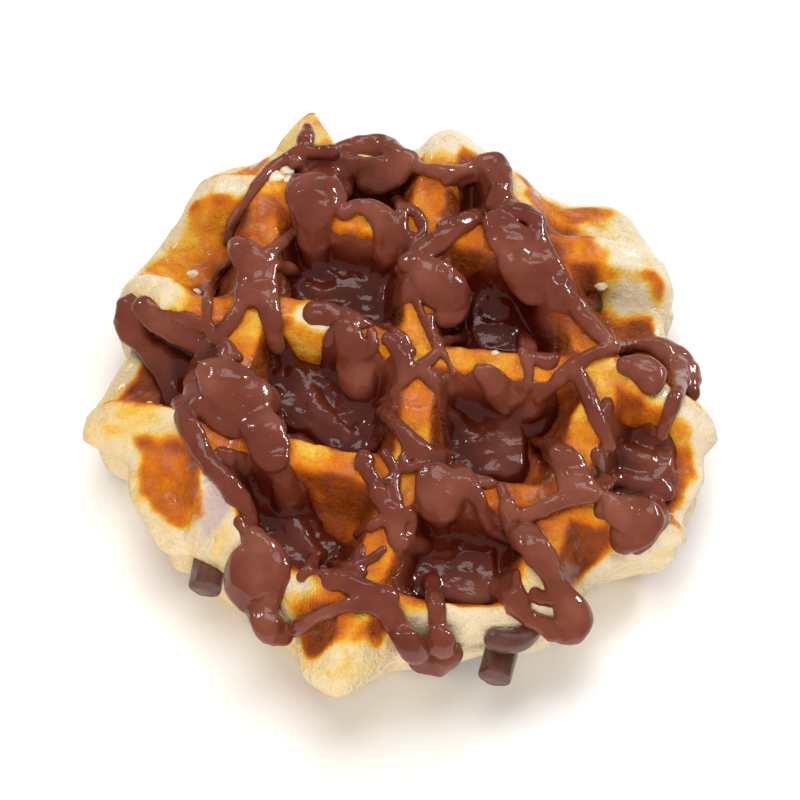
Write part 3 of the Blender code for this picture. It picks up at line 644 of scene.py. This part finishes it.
    "pool_wave_b": (1, [(302, 284, 10), (318, 294, 18), (336, 292, 22), (352, 288, 24), (362, 300, 20),
        (370, 312, 14), (380, 300, 10)]),
    "pool_wave_c": (1, [(448, 412, 10), (460, 424, 16), (474, 444, 22), (482, 458, 20)]),
    "pool_wave_d": (1, [(540, 402, 10), (532, 412, 16), (518, 418, 14), (504, 424, 12)]),
}
# The same for the thin coats on walls and floors, as (across, down, width) in pixels
COATS = {
    "pocket_a1": [(300, 236, 18), (300, 256, 26), (310, 274, 34), (330, 288, 44), (352, 294, 48),
        (374, 290, 40), (392, 282, 28)],
    "pocket_a2": [(316, 310, 20), (340, 312, 22), (362, 316, 24), (384, 312, 24), (396, 296, 20)],
    "pocket_a3": [(306, 246, 30), (320, 262, 30), (370, 268, 20), (392, 262, 24)],
    "back_pool": [(322, 168, 20), (330, 158, 18), (352, 160, 16), (376, 158, 14)],
    "top_right_sheet": [(474, 184, 24), (488, 192, 34), (500, 204, 30)],
    "centre_spread": [(400, 246, 26), (398, 268, 34), (404, 290, 22)],
    "pocket_b1": [(480, 298, 30), (500, 300, 40), (522, 304, 44), (540, 292, 40), (560, 292, 30),
        (574, 300, 16)],
    "pocket_b2": [(470, 330, 24), (490, 338, 34), (512, 340, 44), (532, 346, 34), (546, 356, 20)],
    "pocket_b3": [(470, 312, 30), (490, 318, 40), (510, 322, 44), (530, 326, 30)],
    "right_shade": [(596, 300, 8), (580, 310, 12)],
    "pocket_c1": [(282, 360, 18), (290, 374, 22), (300, 392, 26), (314, 412, 30), (334, 432, 26),
        (356, 440, 24)],
    "pocket_c2": [(388, 386, 22), (384, 404, 26), (376, 424, 28), (366, 440, 22)],
    "pocket_c3": [(336, 350, 24), (352, 372, 36), (368, 392, 32), (372, 410, 20)],
    "pocket_c4": [(392, 366, 18), (396, 384, 16)],
    "pocket_d1": [(446, 390, 14), (454, 408, 28), (466, 428, 36), (476, 448, 40), (474, 466, 28),
        (484, 478, 16)],
    "pocket_d2": [(474, 400, 20), (492, 414, 30), (512, 418, 32), (532, 412, 26), (546, 402, 14)],
    "pocket_d3": [(428, 372, 12), (438, 384, 14), (446, 396, 14)],
    "pocket_e1": [(262, 484, 30), (268, 504, 36), (276, 524, 40), (290, 544, 40), (312, 560, 30),
        (336, 570, 22)],
    "pocket_e2": [(300, 500, 16), (310, 520, 18), (320, 540, 24), (344, 552, 22), (360, 566, 14)],
    "pocket_e3": [(226, 452, 12), (244, 468, 18), (256, 484, 20)],
    "pocket_f1": [(402, 524, 22), (410, 540, 36), (430, 548, 50), (456, 552, 56), (480, 556, 44),
        (498, 552, 26)],
    "pocket_f2": [(404, 586, 16), (424, 578, 30), (448, 566, 36), (474, 562, 30)],
    "pocket_f3": [(480, 536, 24), (498, 548, 20), (502, 562, 14)],
    "pocket_f4": [(484, 574, 22), (500, 584, 22), (514, 594, 18)],
    "pocket_g1": [(604, 430, 14), (616, 442, 28), (636, 450, 34), (656, 452, 26)],
    "pocket_g2": [(604, 464, 20), (622, 468, 28), (644, 472, 30), (660, 478, 20)],
    "pocket_g3": [(606, 400, 8), (610, 416, 12), (620, 430, 12)],
    "left_shade_a": [(166, 336, 24), (184, 342, 28), (204, 352, 26), (226, 352, 18), (238, 356, 10)],
    "left_shade_b": [(176, 372, 26), (190, 388, 26), (200, 402, 26)],
    "left_shade_c": [(216, 412, 20), (236, 420, 26), (256, 420, 24)],
    "column_shade": [(278, 352, 12), (284, 368, 18), (286, 390, 20), (284, 410, 16)],
    "low_left_shade": [(246, 520, 14), (256, 530, 22), (276, 540, 26)],
    "drop_shade": [(598, 506, 10), (606, 496, 14), (622, 490, 22), (646, 492, 24)],
    "front_shade": [(534, 588, 10), (546, 598, 12), (556, 608, 12), (566, 612, 12)],
}
# Sauce that has gathered on the pocket floors, as (x, y, radius, depth)
POOLS = [
    (-11, 25, 9, 1.4), (23, 15, 9, 1.6), (-15, 0, 8, 1.0), (14, -9, 9, 1.4), (-24, -25, 7, 1.0),
    (9, -38, 9, 1.6), (43, -13, 7, 1.6), (-38, 2, 6, 1.2), (13, 43, 5, 1.2),
]
# The strands and coats reach past the part of them that can be told from the dough in the photo
STRAND_SPREAD = 1.1
COAT_SPREAD = 1.35
DRAPE_STEP = 3.0
COAT_LIFT = 0.8 * MM
SAUCE_CELL = 0.42 * MM
SAUCE_LOW = 7 * MM
SAUCE_HIGH = 31 * MM
SAUCE_SINK = 0.9 * MM
COAT_DEPTH = 0.9 * MM
# How uneven a pool's edge is and how steeply its level falls past it, and over what share of
# the plan the thin coats fade out at the rim
POOL_RAGGED = 1.8 * MM
POOL_WALL = 1.5
COAT_FADE = 0.05
# Half a strand's height is a share of half its width, up to the tallest. Its middle lies a
# little over the dough, and further up the wider it is.
STRAND_FLATNESS = 0.60
STRAND_TALLEST = 1.20 * MM
STRAND_LIFT = 0.1 * MM
STRAND_LIFT_SHARE = 0.13
# Depths in mm of the folds, pleats and swells in the skin of the set sauce
FOLD_DEPTH = 0.28
PLEAT_DEPTH = 0.08
SWELL_DEPTH = 0.10
FILLET = 0.6 * MM
FILLET_MARGIN = FILLET * 1.3
BEAD_STEP = 0.35 * MM
SCRAP = 400


def blurred(field, reach):
    """A field softened over a reach given in metres."""
    sigma = reach / SAUCE_CELL
    half = int(3 * sigma)
    weights = np.exp(-0.5 * (np.arange(-half, half + 1) / sigma) ** 2)
    weights /= weights.sum()
    for axis in (0, 1):
        padded = np.pad(field, [(half, half) if a == axis else (0, 0) for a in (0, 1)], mode="edge")
        field = sum(weight * np.take(padded, np.arange(shift, shift + field.shape[axis]), axis=axis)
                    for shift, weight in enumerate(weights))
    return field


def soft_max(a, b, reach):
    """The greater of two fields, with a fillet where they cross."""
    overlap = np.clip(0.5 + 0.5 * (a - b) / reach, 0.0, 1.0)
    return b + (a - b) * overlap + reach * overlap * (1.0 - overlap)


def soft_min(a, b, reach):
    return -soft_max(-a, -b, reach)


def at_places(field, x, y):
    """The values of a field on the sauce's grid at places in plan."""
    column = np.clip(np.round((x - sauce_axes[0][0]) / SAUCE_CELL).astype(int), 0, field.shape[0] - 1)
    row = np.clip(np.round((y - sauce_axes[1][0]) / SAUCE_CELL).astype(int), 0, field.shape[1] - 1)
    return field[column, row]


def seen_at(across, down, z):
    """The place in plan that a pixel of the photo shows, for a given height."""
    y = ((PHOTO_MIDDLE[1] - down) * PIXEL - z * math.cos(CAMERA_ANGLE)) / math.sin(CAMERA_ANGLE)
    return (across - PHOTO_MIDDLE[0]) * PIXEL, y


def seen_height(across, down, lift):
    """The height at which the eye's line through a pixel first comes down to the dough."""
    levels = np.arange(29 * MM, 6 * MM, -0.1 * MM)
    met = at_places(bare, *seen_at(across[:, None], down[:, None], levels)) + lift >= levels
    return np.where(met.any(axis=1), levels[np.argmax(met, axis=1)], levels[-1])


def draped(points, tautness, lift):
    """A strand's points in space: laid on the dough, and pulled taut between its bumps."""
    keys = np.array([point[:2] for point in points], dtype=float)
    path = spline(keys, DRAPE_STEP)
    own = [int(np.argmin(np.hypot(*(path - key).T))) for key in keys]
    hung = {number: point[3] * MM for number, point in zip(own, points) if len(point) > 3}
    ground = seen_height(*path.T, lift)
    if len(hung) == len(points):
        heights = np.interp(np.arange(len(path)), list(hung), list(hung.values()))
        tautness = 0
    else:
        heights = ground.copy()
        heights[list(hung)] = list(hung.values())
    for _ in range(tautness):
        near = np.pad(heights, 2, mode="edge")
        level = (near[:-4] + 2 * near[1:-3] + 3 * near[2:-2] + 2 * near[3:-1] + near[4:]) / 9
        heights = np.maximum(ground, level)
        heights[list(hung)] = list(hung.values())
    x, y = seen_at(*keys.T, heights[own])
    return np.stack([x, y, heights[own], [point[2] * PIXEL for point in points]], axis=-1)


def coat_field(x, y):
    """Depth of the thin coats over the dough: level across each, below zero beside it."""
    field = np.full(x.shape, -4.0 * MM)
    ragged = 0.45 * MM * lumps(x, y, x * 0, 3.1 * MM, 61)
    for points in COATS.values():
        path = spline(draped(points, 1, COAT_LIFT)[:, [0, 1, 3]] * (1, 1, COAT_SPREAD), 1.5 * MM)
        reach = path[:, 2].max() / 2 + 4 * MM
        near = ((x > path[:, 0].min() - reach) & (x < path[:, 0].max() + reach)
                & (y > path[:, 1].min() - reach) & (y < path[:, 1].max() + reach))
        inside = np.full(near.sum(), -9.0)
        for place in path:
            inside = np.maximum(inside, place[2] / 2 - np.hypot(x[near] - place[0], y[near] - place[1]))
        inside = inside + ragged[near]
        field[near] = np.maximum(field[near], inside)
    return np.where(field > 0, COAT_DEPTH * np.sqrt(np.clip(field / (1.2 * MM), 0, 1)), field * 1.5)


def carve_strand(field, axes, points):
    """Joins one strand, a chain of flattened balls, to the field of distances."""
    path = spline(points, BEAD_STEP)
    centre = path[:, :3]
    half = np.maximum(path[:, 3] / 2, 0.5 * MM)
    along = np.arange(len(path)) * BEAD_STEP
    half = half * (1.0 + 0.10 * lumps(along, along * 0 + path[0, 0], along * 0, 3.5 * MM, 71))
    tall = np.minimum(STRAND_FLATNESS * half + 0.20 * MM, STRAND_TALLEST)
    reach = (half * (1 + FILLET_MARGIN / tall)).max()
    ends = zip(axes, centre.min(axis=0) - reach, centre.max(axis=0) + reach)
    box = tuple(slice(*map(int, np.searchsorted(grid, (low, high)))) for grid, low, high in ends)
    own = np.full(field[box].shape, 9.0, dtype=np.float32)
    for place, wide, high in zip(centre, half, tall):
        margin = (wide * (1 + FILLET_MARGIN / high), wide * (1 + FILLET_MARGIN / high), high + FILLET_MARGIN)
        cut = []
        parts = []
        for axis in range(3):
            grid = axes[axis][box[axis]]
            start = int(np.searchsorted(grid, place[axis] - margin[axis]))
            stop = int(np.searchsorted(grid, place[axis] + margin[axis]))
            cut.append(slice(start, stop))
            scale = wide if axis < 2 else high
            parts.append(((grid[start:stop] - place[axis]) / scale) ** 2)
        away = np.sqrt(parts[0][:, None, None] + parts[1][None, :, None] + parts[2][None, None, :])
        own[tuple(cut)] = np.minimum(own[tuple(cut)], (away - 1.0) * high)
    field[box] = soft_min(field[box], own, FILLET)


def body_sizes(count, faces):
    """For each point, how many points its connected body has."""
    start = faces.ravel()
    end = np.roll(faces, -1, axis=1).ravel()
    body = np.arange(count)
    while True:
        least = np.minimum(body[start], body[end])
        joined = body.copy()
        np.minimum.at(joined, start, least)
        np.minimum.at(joined, end, least)
        joined = joined[joined]
        if np.array_equal(joined, body):
            break
        body = joined
    return np.bincount(body, minlength=count)[body]


def skin_mesh(name, field, axes):
    """The closed surface where a field of distances is zero, with one point in each crossed cell."""
    filled = field < 0
    corners = list(itertools.product((0, 1), repeat=3))
    size = tuple(n - 1 for n in field.shape)
    count = np.zeros(size, dtype=np.int8)
    for i, j, k in corners:
        count += filled[i:i + size[0], j:j + size[1], k:k + size[2]]
    crossed = (count > 0) & (count < 8)
    cell = np.array(np.nonzero(crossed))
    index = np.full(size, -1, dtype=np.int64)
    index[crossed] = np.arange(cell.shape[1])
    values = {corner: field[cell[0] + corner[0], cell[1] + corner[1], cell[2] + corner[2]].astype(float)
              for corner in corners}
    total = np.zeros((cell.shape[1], 3))
    crossings = np.zeros(cell.shape[1])
    for a, b in itertools.combinations(corners, 2):
        if sum(abs(m - n) for m, n in zip(a, b)) != 1:
            continue
        change = (values[a] < 0) != (values[b] < 0)
        part = np.where(change, values[a] / np.where(change, values[a] - values[b], 1.0), 0.0)
        spot = np.array(a)[None, :] + part[:, None] * (np.array(b) - np.array(a))[None, :]
        total += spot * change[:, None]
        crossings += change
    places = cell.T + total / crossings[:, None]
    places = np.stack([axes[axis][0] + places[:, axis] * SAUCE_CELL for axis in range(3)], axis=-1)
    faces = []
    for axis in range(3):
        one, two = (axis + 1) % 3, (axis + 2) % 3
        near = filled[tuple(slice(0, -1) if a == axis else slice(1, -1) for a in range(3))]
        far = filled[tuple(slice(1, None) if a == axis else slice(1, -1) for a in range(3))]
        for outward, mask in ((True, near & ~far), (False, far & ~near)):
            spot = np.array(np.nonzero(mask)).T
            spot[:, one] += 1
            spot[:, two] += 1
            ring = []
            for back_one, back_two in ((1, 1), (0, 1), (0, 0), (1, 0)):
                corner = spot.copy()
                corner[:, one] -= back_one
                corner[:, two] -= back_two
                ring.append(index[corner[:, 0], corner[:, 1], corner[:, 2]])
            faces.append(np.stack(ring if outward else ring[::-1], axis=-1))
    faces = np.vstack(faces)
    whole = body_sizes(len(places), faces) >= SCRAP
    renumbered = np.cumsum(whole) - 1
    faces = renumbered[faces[whole[faces].all(axis=1)]]
    mesh = bpy.data.meshes.new(name)
    mesh.from_pydata(places[whole].tolist(), [], faces.tolist())
    mesh.shade_smooth()
    return mesh


sauce_axes = [np.arange(-64 * MM, 64 * MM, SAUCE_CELL), np.arange(-69 * MM, 70 * MM, SAUCE_CELL),
              np.arange(SAUCE_LOW, SAUCE_HIGH, SAUCE_CELL)]
grid_x, grid_y = np.meshgrid(sauce_axes[0], sauce_axes[1], indexing="ij")
grid_share = plan_share(grid_x, grid_y)
bare = upper_face(grid_x, grid_y, grid_share)
bed = soft_max(bare, blurred(bare, 1.1 * MM), 0.3 * MM)
coats = coat_field(grid_x, grid_y) - 9 * MM * smooth_step((grid_share - 0.95) / COAT_FADE)
coat_top = np.maximum(bed + coats, bare - 3 * MM)
pool_edge = POOL_RAGGED * lumps(grid_x, grid_y, grid_x * 0, 7 * MM, 67)
for pool_x, pool_y, pool_radius, pool_depth in POOLS:
    spread = ((grid_x - pool_x * MM) ** 4 + (grid_y - pool_y * MM) ** 4) ** 0.25
    past_edge = np.maximum(0.0, spread + pool_edge - pool_radius * MM)
    coat_top = soft_max(coat_top, UPPER_FLOOR + pool_depth * MM - POOL_WALL * past_edge, 0.5 * MM)
slope = np.hypot(*np.gradient(blurred(coat_top, 0.6 * MM), SAUCE_CELL))
height = sauce_axes[2][None, None, :]
sauce_field = ((height - coat_top[:, :, None]) / np.sqrt(1 + slope ** 2)[:, :, None]).astype(np.float32)
for tautness, strand_points in STRANDS.values():
    lift = STRAND_LIFT + STRAND_LIFT_SHARE * PIXEL * max(point[2] for point in strand_points)
    strand = draped(strand_points, tautness, lift) * (1, 1, 1, STRAND_SPREAD)
    carve_strand(sauce_field, sauce_axes, strand)
under = blurred(bare, 0.9 * MM)
under_slope = np.hypot(*np.gradient(under, SAUCE_CELL))
inner = (under[:, :, None] - SAUCE_SINK - height) / np.sqrt(1 + under_slope ** 2)[:, :, None]
sauce_field = np.maximum(sauce_field, inner.astype(np.float32))

# The height of the sauce's or dough's own top, softened, tells how deep in a pocket a place lies, and so how
# much shade is painted there
filled = sauce_field < 0
highest = sauce_axes[2][len(sauce_axes[2]) - 1 - np.argmax(filled[:, :, ::-1], axis=2)]
covered = filled.any(axis=2) & (highest > bare)
top_height = np.where(covered, highest, bare)
around_height = blurred(top_height, 2.6 * MM)
pocket_height = blurred(top_height, 6.5 * MM)
cover_share = blurred(covered.astype(float), 1.1 * MM)


def pocket_shade(x, y, z):
    """How much shade is painted on a place: 0 on what stands free and 1 deep in a pocket or a crease."""
    crease = smooth_step((at_places(around_height, x, y) - z + 0.4 * MM) / (3.4 * MM))
    pocket = smooth_step((at_places(pocket_height, x, y) - z - 0.3 * MM) / (3.4 * MM))
    on_top = smooth_step((1.02 - plan_share(x, y)) / 0.07)
    return (1.0 - (1.0 - crease) * (1.0 - pocket)) * on_top


def thin(x, y, z):
    """1 where the sauce lies thin over the dough, and 0 where it is thick."""
    return 1.0 - smooth_step((z - at_places(bare, x, y)) / (1.1 * MM))


sauce_field[[0, -1], :, :] = 1.0
sauce_field[:, [0, -1], :] = 1.0
sauce_field[:, :, [0, -1]] = 1.0

sauce_mesh = skin_mesh("chocolate_sauce", sauce_field, sauce_axes)
places = mesh_places(sauce_mesh)
normals = np.empty(len(sauce_mesh.vertices) * 3)
sauce_mesh.vertices.foreach_get("normal", normals)
folds = 1.0 - 2.0 * np.abs(lumps(*places.T, 4.0 * MM, 86))
pleats = 1.0 - 2.0 * np.abs(lumps(*places.T, 2.2 * MM, 87))
flow = (FOLD_DEPTH * folds + PLEAT_DEPTH * pleats + SWELL_DEPTH * lumps(*places.T, 6 * MM, 81)) * MM
sauce_mesh.vertices.foreach_set("co", (places + normals.reshape(-1, 3) * flow[:, None]).ravel())
sauce_mesh.update()
# Painted shade: the sauce's colour is darkened deep in the pockets and creases
store(sauce_mesh, "pocket_shade", pocket_shade(*places.T))
store(sauce_mesh, "thin", thin(*places.T))
sauce = new_piece("chocolate_sauce", sauce_mesh)

# Beside the thick sauce the walls are darkened: in part a stain of thin sauce run over them, in part painted
# shade that grows deep in the pockets and creases
stain_and_shade = smooth_step(at_places(cover_share, px, py) / 0.55) * pocket_shade(px, py, pz)
store(dough_mesh, "stain_and_shade", stain_and_shade * (1.0 - dough_side) * smooth_step((pz - 15 * MM) / (2.5 * MM)))


def make_sauce_finish():
    finish, nodes, links, shader = material("milk_chocolate_sauce")
    tone = noise_texture(nodes, links, 90, 3, 0.5)
    colours = ramp(nodes, [
        (0.30, (0.100, 0.018, 0.009)),
        (0.50, (0.138, 0.030, 0.015)),
        (0.75, (0.210, 0.064, 0.038)),
    ])
    links.new(tone.outputs["Fac"], colours.inputs["Fac"])
    warm = mixed(nodes, links, "MIX", "thin", colours.outputs["Color"], (0.125, 0.026, 0.008))
    # Painted shade: the colour is multiplied down towards a dark red brown deep in the pockets and creases
    deep = mixed(nodes, links, "MULTIPLY", "pocket_shade", warm, (0.42, 0.19, 0.13))
    links.new(deep, shader.inputs["Base Color"])
    shader.inputs["Roughness"].default_value = 0.09
    shader.inputs["IOR"].default_value = 1.46
    ripple = noise_texture(nodes, links, 420, 3, 0.5)
    waves = bump(nodes, links, ripple.outputs["Fac"], 0.0008, 0.22)
    bubbles = nodes.new("ShaderNodeTexVoronoi")
    bubbles.inputs["Scale"].default_value = 620
    links.new(ripple.inputs["Vector"].links[0].from_socket, bubbles.inputs["Vector"])
    skins = ramp(nodes, [(0.0, (1, 1, 1)), (0.12, (0, 0, 0))])
    links.new(bubbles.outputs["Distance"], skins.inputs["Fac"])
    links.new(bump(nodes, links, skins.outputs["Color"], 0.0003, 0.5, waves), shader.inputs["Normal"])
    return finish


sauce_mesh.materials.append(make_sauce_finish())
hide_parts("waffle")
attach(sauce, "root")


# Batons
# Extruded sticks of dark chocolate, baked into the dough from front to back. Their front
# ends stand out between the lips, and a third piece has softened and bent.

BATON_LENGTH = 80 * MM
BATON_WIDTH = 6.6 * MM
BATON_HEIGHT = 5.8 * MM
BATON_LEVEL = 13.2 * MM
BATON_LOBES = 5
BATON_GROOVE = 0.05
BATON_SIDES = 90
BATONS = {
    "baton_left": ((-36.5, -40.5), -9),
    "baton_right": ((17.6, -60.3), -13),
}
BENT_PIECE = [(16.2, -54.5, 18.5), (19.3, -56.0, 19.1), (22.6, -55.0, 18.5), (25.3, -51.0, 17.4)]
BENT_DIAMETER = 4.3 * MM
BENT_SIDES = 64
BENT_STEP = 0.5 * MM


def make_baton_finish():
    finish, nodes, links, shader = material("dark_chocolate")
    tone = noise_texture(nodes, links, 240, 5, 0.6)
    colours = ramp(nodes, [(0.3, (0.066, 0.022, 0.015)), (0.7, (0.125, 0.052, 0.040))])
    links.new(tone.outputs["Fac"], colours.inputs["Fac"])
    links.new(colours.outputs["Color"], shader.inputs["Base Color"])
    shader.inputs["Roughness"].default_value = 0.22
    shader.inputs["Specular IOR Level"].default_value = 0.4
    scuffs = noise_texture(nodes, links, 1200, 4, 0.6)
    links.new(bump(nodes, links, scuffs.outputs["Fac"], 0.0003, 0.3), shader.inputs["Normal"])
    return finish


baton_finish = make_baton_finish()


def sweep(path, outline, scales):
    """Rings of an outline carried along a path, sized at each place."""
    rings = []
    for number, place in enumerate(path):
        ahead = path[min(number + 1, len(path) - 1)] - path[max(number - 1, 0)]
        ahead = ahead / np.linalg.norm(ahead)
        side = np.cross(ahead, (0, 0, 1.0))
        side = side / np.linalg.norm(side)
        up = np.cross(side, ahead)
        rings.append(place + scales[number] * (outline[:, :1] * side + outline[:, 1:] * up))
    return np.array(rings)


def baton_rings(length, seed):
    turn = np.arange(BATON_SIDES) / BATON_SIDES * 2 * math.pi
    ripple = 1.0 - BATON_GROOVE * (1.0 + np.cos(BATON_LOBES * turn))
    wide = BATON_WIDTH / 2 * np.cos(turn) * ripple
    high = BATON_HEIGHT / 2 * np.sin(turn) * ripple
    outline = np.stack([wide, high], axis=-1)
    ends = np.array([0.0, 0.12, 0.3, 0.6, 1.1]) * MM
    middle = np.arange(2 * MM, length - 2 * MM, 1.1 * MM)
    along = np.concatenate([ends, middle, (length - ends)[::-1]])
    path = np.stack([along * 0, along, along * 0], axis=-1)
    from_end = np.minimum(along, length - along)
    rings = sweep(path, outline, 1.0 - 0.10 * np.exp(-from_end / (0.22 * MM)))
    rough = lumps(rings[..., 0], rings[..., 1], rings[..., 2], 1.6 * MM, seed)
    rings[..., 1] += 0.25 * MM * rough * np.exp(-from_end / (0.8 * MM))[:, None]
    rings[..., 0] *= 1.0 + 0.015 * rough
    return rings


for baton_seed, (baton_name, (baton_end, baton_turn)) in enumerate(BATONS.items()):
    rings = baton_rings(BATON_LENGTH, 91 + baton_seed)
    baton_mesh = ring_mesh(baton_name, rings[::-1], rings[-1].mean(axis=0), rings[0].mean(axis=0))
    baton_mesh.materials.append(baton_finish)
    baton = new_piece(baton_name + "_stick", baton_mesh)
    baton.location = (baton_end[0] * MM, baton_end[1] * MM, BATON_LEVEL)
    baton.rotation_euler = (0, 0, math.radians(baton_turn))
    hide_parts(baton_name)
    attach(baton, "root")

bent_path = spline(np.array(BENT_PIECE) * MM, BENT_STEP)
bent_turn = np.arange(BENT_SIDES) / BENT_SIDES * 2 * math.pi
bent_ripple = BENT_DIAMETER / 2 * (1.0 - 0.04 * (1.0 + np.cos(4 * bent_turn)))
bent_outline = np.stack([np.cos(bent_turn) * bent_ripple, np.sin(bent_turn) * bent_ripple], axis=-1)
bent_steps = np.arange(len(bent_path))
bent_from_end = np.minimum(bent_steps, bent_steps[::-1]) * BENT_STEP
bent_rings = sweep(bent_path, bent_outline, 1.0 - 0.35 * np.exp(-bent_from_end / (0.5 * MM)))
bent_mesh = ring_mesh("baton_bent", bent_rings[::-1], bent_path[-1], bent_path[0])
bent_mesh.materials.append(baton_finish)
bent = new_piece("baton_bent_stick", bent_mesh)
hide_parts("baton_bent")
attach(bent, "root")


# Pearl sugar
# Hard white sugar grains that were kneaded into the dough. A few stand in the crust,
# half melted and glassy.

SUGAR_GRAINS = [
    (-24, 45.5, 3.0), (-22, 47.5, 2.6), (-21.5, 44.8, 2.2), (-39.6, 28, 1.9), (-38.9, 21.2, 1.6),
    (38.3, 22.7, 2.2), (-47.3, -4.6, 1.6), (-45.2, -5.2, 1.2),
    (18, 4, 1.5), (-33, -10, 1.6),
]


def make_sugar_finish():
    finish, nodes, links, shader = material("pearl_sugar")
    frost = noise_texture(nodes, links, 700, 4, 0.6)
    colours = ramp(nodes, [(0.3, (0.60, 0.47, 0.30)), (0.7, (0.72, 0.64, 0.52))])
    links.new(frost.outputs["Fac"], colours.inputs["Fac"])
    links.new(colours.outputs["Color"], shader.inputs["Base Color"])
    shader.inputs["Roughness"].default_value = 0.28
    shader.inputs["Subsurface Weight"].default_value = 0.3
    shader.inputs["Subsurface Scale"].default_value = 0.002
    links.new(bump(nodes, links, frost.outputs["Fac"], 0.0004, 0.5), shader.inputs["Normal"])
    return finish


grains = bmesh.new()
for number, (grain_x, grain_y, size) in enumerate(SUGAR_GRAINS):
    spot = np.array([grain_x * MM]), np.array([grain_y * MM])
    level = upper_face(*spot, plan_share(*spot))[0]
    ball = bmesh.ops.create_icosphere(grains, subdivisions=3, radius=size * MM / 2)
    points = np.array([vertex.co[:] for vertex in ball["verts"]])
    facets = np.round(points / (size * MM * 0.28)) * size * MM * 0.28
    points = points * 0.55 + facets * 0.45
    points *= 1.0 + 0.15 * lumps(*(points.T + number * 0.01), size * MM * 0.5, 101)[:, None]
    points = points * (1.2, 1.1, 0.42) + (grain_x * MM, grain_y * MM, level - size * MM * 0.09)
    for vertex, point in zip(ball["verts"], points):
        vertex.co = Vector(point)
sugar_mesh = bpy.data.meshes.new("pearl_sugar")
grains.to_mesh(sugar_mesh)
grains.free()
sugar_mesh.shade_smooth()
sugar_mesh.materials.append(make_sugar_finish())
sugar = new_piece("pearl_sugar", sugar_mesh)
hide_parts("waffle")
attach(sugar, "root")


# Studio
# A pale seamless floor, soft light from above, a window with panes at the back right for
# the glints on the sauce, and the camera at the height angle that a plate is seen from.

floor_mesh = bpy.data.meshes.new("floor")
floor_shape = bmesh.new()
bmesh.ops.create_grid(floor_shape, x_segments=8, y_segments=8, size=3.0)
floor_shape.to_mesh(floor_mesh)
floor_shape.free()
floor = new_piece("floor", floor_mesh)
floor_finish, _, _, floor_shader = material("pale_floor")
floor_shader.inputs["Base Color"].default_value = (0.9, 0.9, 0.9, 1)
floor_shader.inputs["Roughness"].default_value = 0.9
floor_mesh.materials.append(floor_finish)

world = bpy.data.worlds.new("soft_room")
bpy.context.scene.world = world
world.use_nodes = True
world.node_tree.nodes["Background"].inputs["Color"].default_value = (1.0, 0.95, 0.91, 1)
world.node_tree.nodes["Background"].inputs["Strength"].default_value = 0.40


def area_light(name, place, aim, size, power, colour, mirrored=True):
    light = bpy.data.lights.new(name, "AREA")
    light.shape = "RECTANGLE"
    light.size, light.size_y = size
    light.energy = power
    light.color = colour
    holder = bpy.data.objects.new(name, light)
    bpy.context.scene.collection.objects.link(holder)
    holder.location = place
    holder.rotation_euler = (Vector(aim) - Vector(place)).to_track_quat("-Z", "Y").to_euler()
    holder.visible_glossy = mirrored


TARGET = (0.0, 0.0017, 0.014)
area_light("overhead", (-0.10, 0.15, 1.1), TARGET, (0.8, 0.8), 8.6, (1.0, 0.98, 0.95), mirrored=False)
area_light("front_fill", (-0.12, -1.1, 0.42), TARGET, (0.9, 0.5), 10.6, (1.00, 0.97, 0.90), mirrored=False)
area_light("sky", (0.15, 0.9, 0.95), TARGET, (0.5, 0.35), 1.5, (1.0, 0.96, 0.96))
WINDOW = Vector((0.56, 0.56, 0.46))
WINDOW_SIDE = Vector((0.70, -0.70, 0.0))
PANES = 4
PANE_SPACING = 0.062
for pane in range(PANES):
    shift = WINDOW_SIDE * (PANE_SPACING * (pane - (PANES - 1) / 2))
    area_light("window_pane", WINDOW + shift, TARGET, (0.026, 0.13), 0.95, (0.88, 0.94, 1.0))
area_light("far_window", (-0.42, 0.80, 0.62), TARGET, (0.05, 0.16), 0.7, (0.94, 0.96, 1.0))

camera_data = bpy.data.cameras.new("camera")
camera = bpy.data.objects.new("camera", camera_data)
bpy.context.scene.collection.objects.link(camera)
CAMERA_DISTANCE = 1.6
FRAME_WIDTH = 0.152
camera_data.sensor_width = 36
camera_data.lens = camera_data.sensor_width * CAMERA_DISTANCE / FRAME_WIDTH
camera_data.clip_start = 0.01
camera_way = Vector((0, -math.cos(CAMERA_ANGLE), math.sin(CAMERA_ANGLE)))
camera.location = Vector(TARGET) + CAMERA_DISTANCE * camera_way
camera.rotation_euler = (math.pi / 2 - CAMERA_ANGLE, 0, 0)
bpy.context.scene.camera = camera
bpy.context.scene.view_settings.view_transform = "Standard"
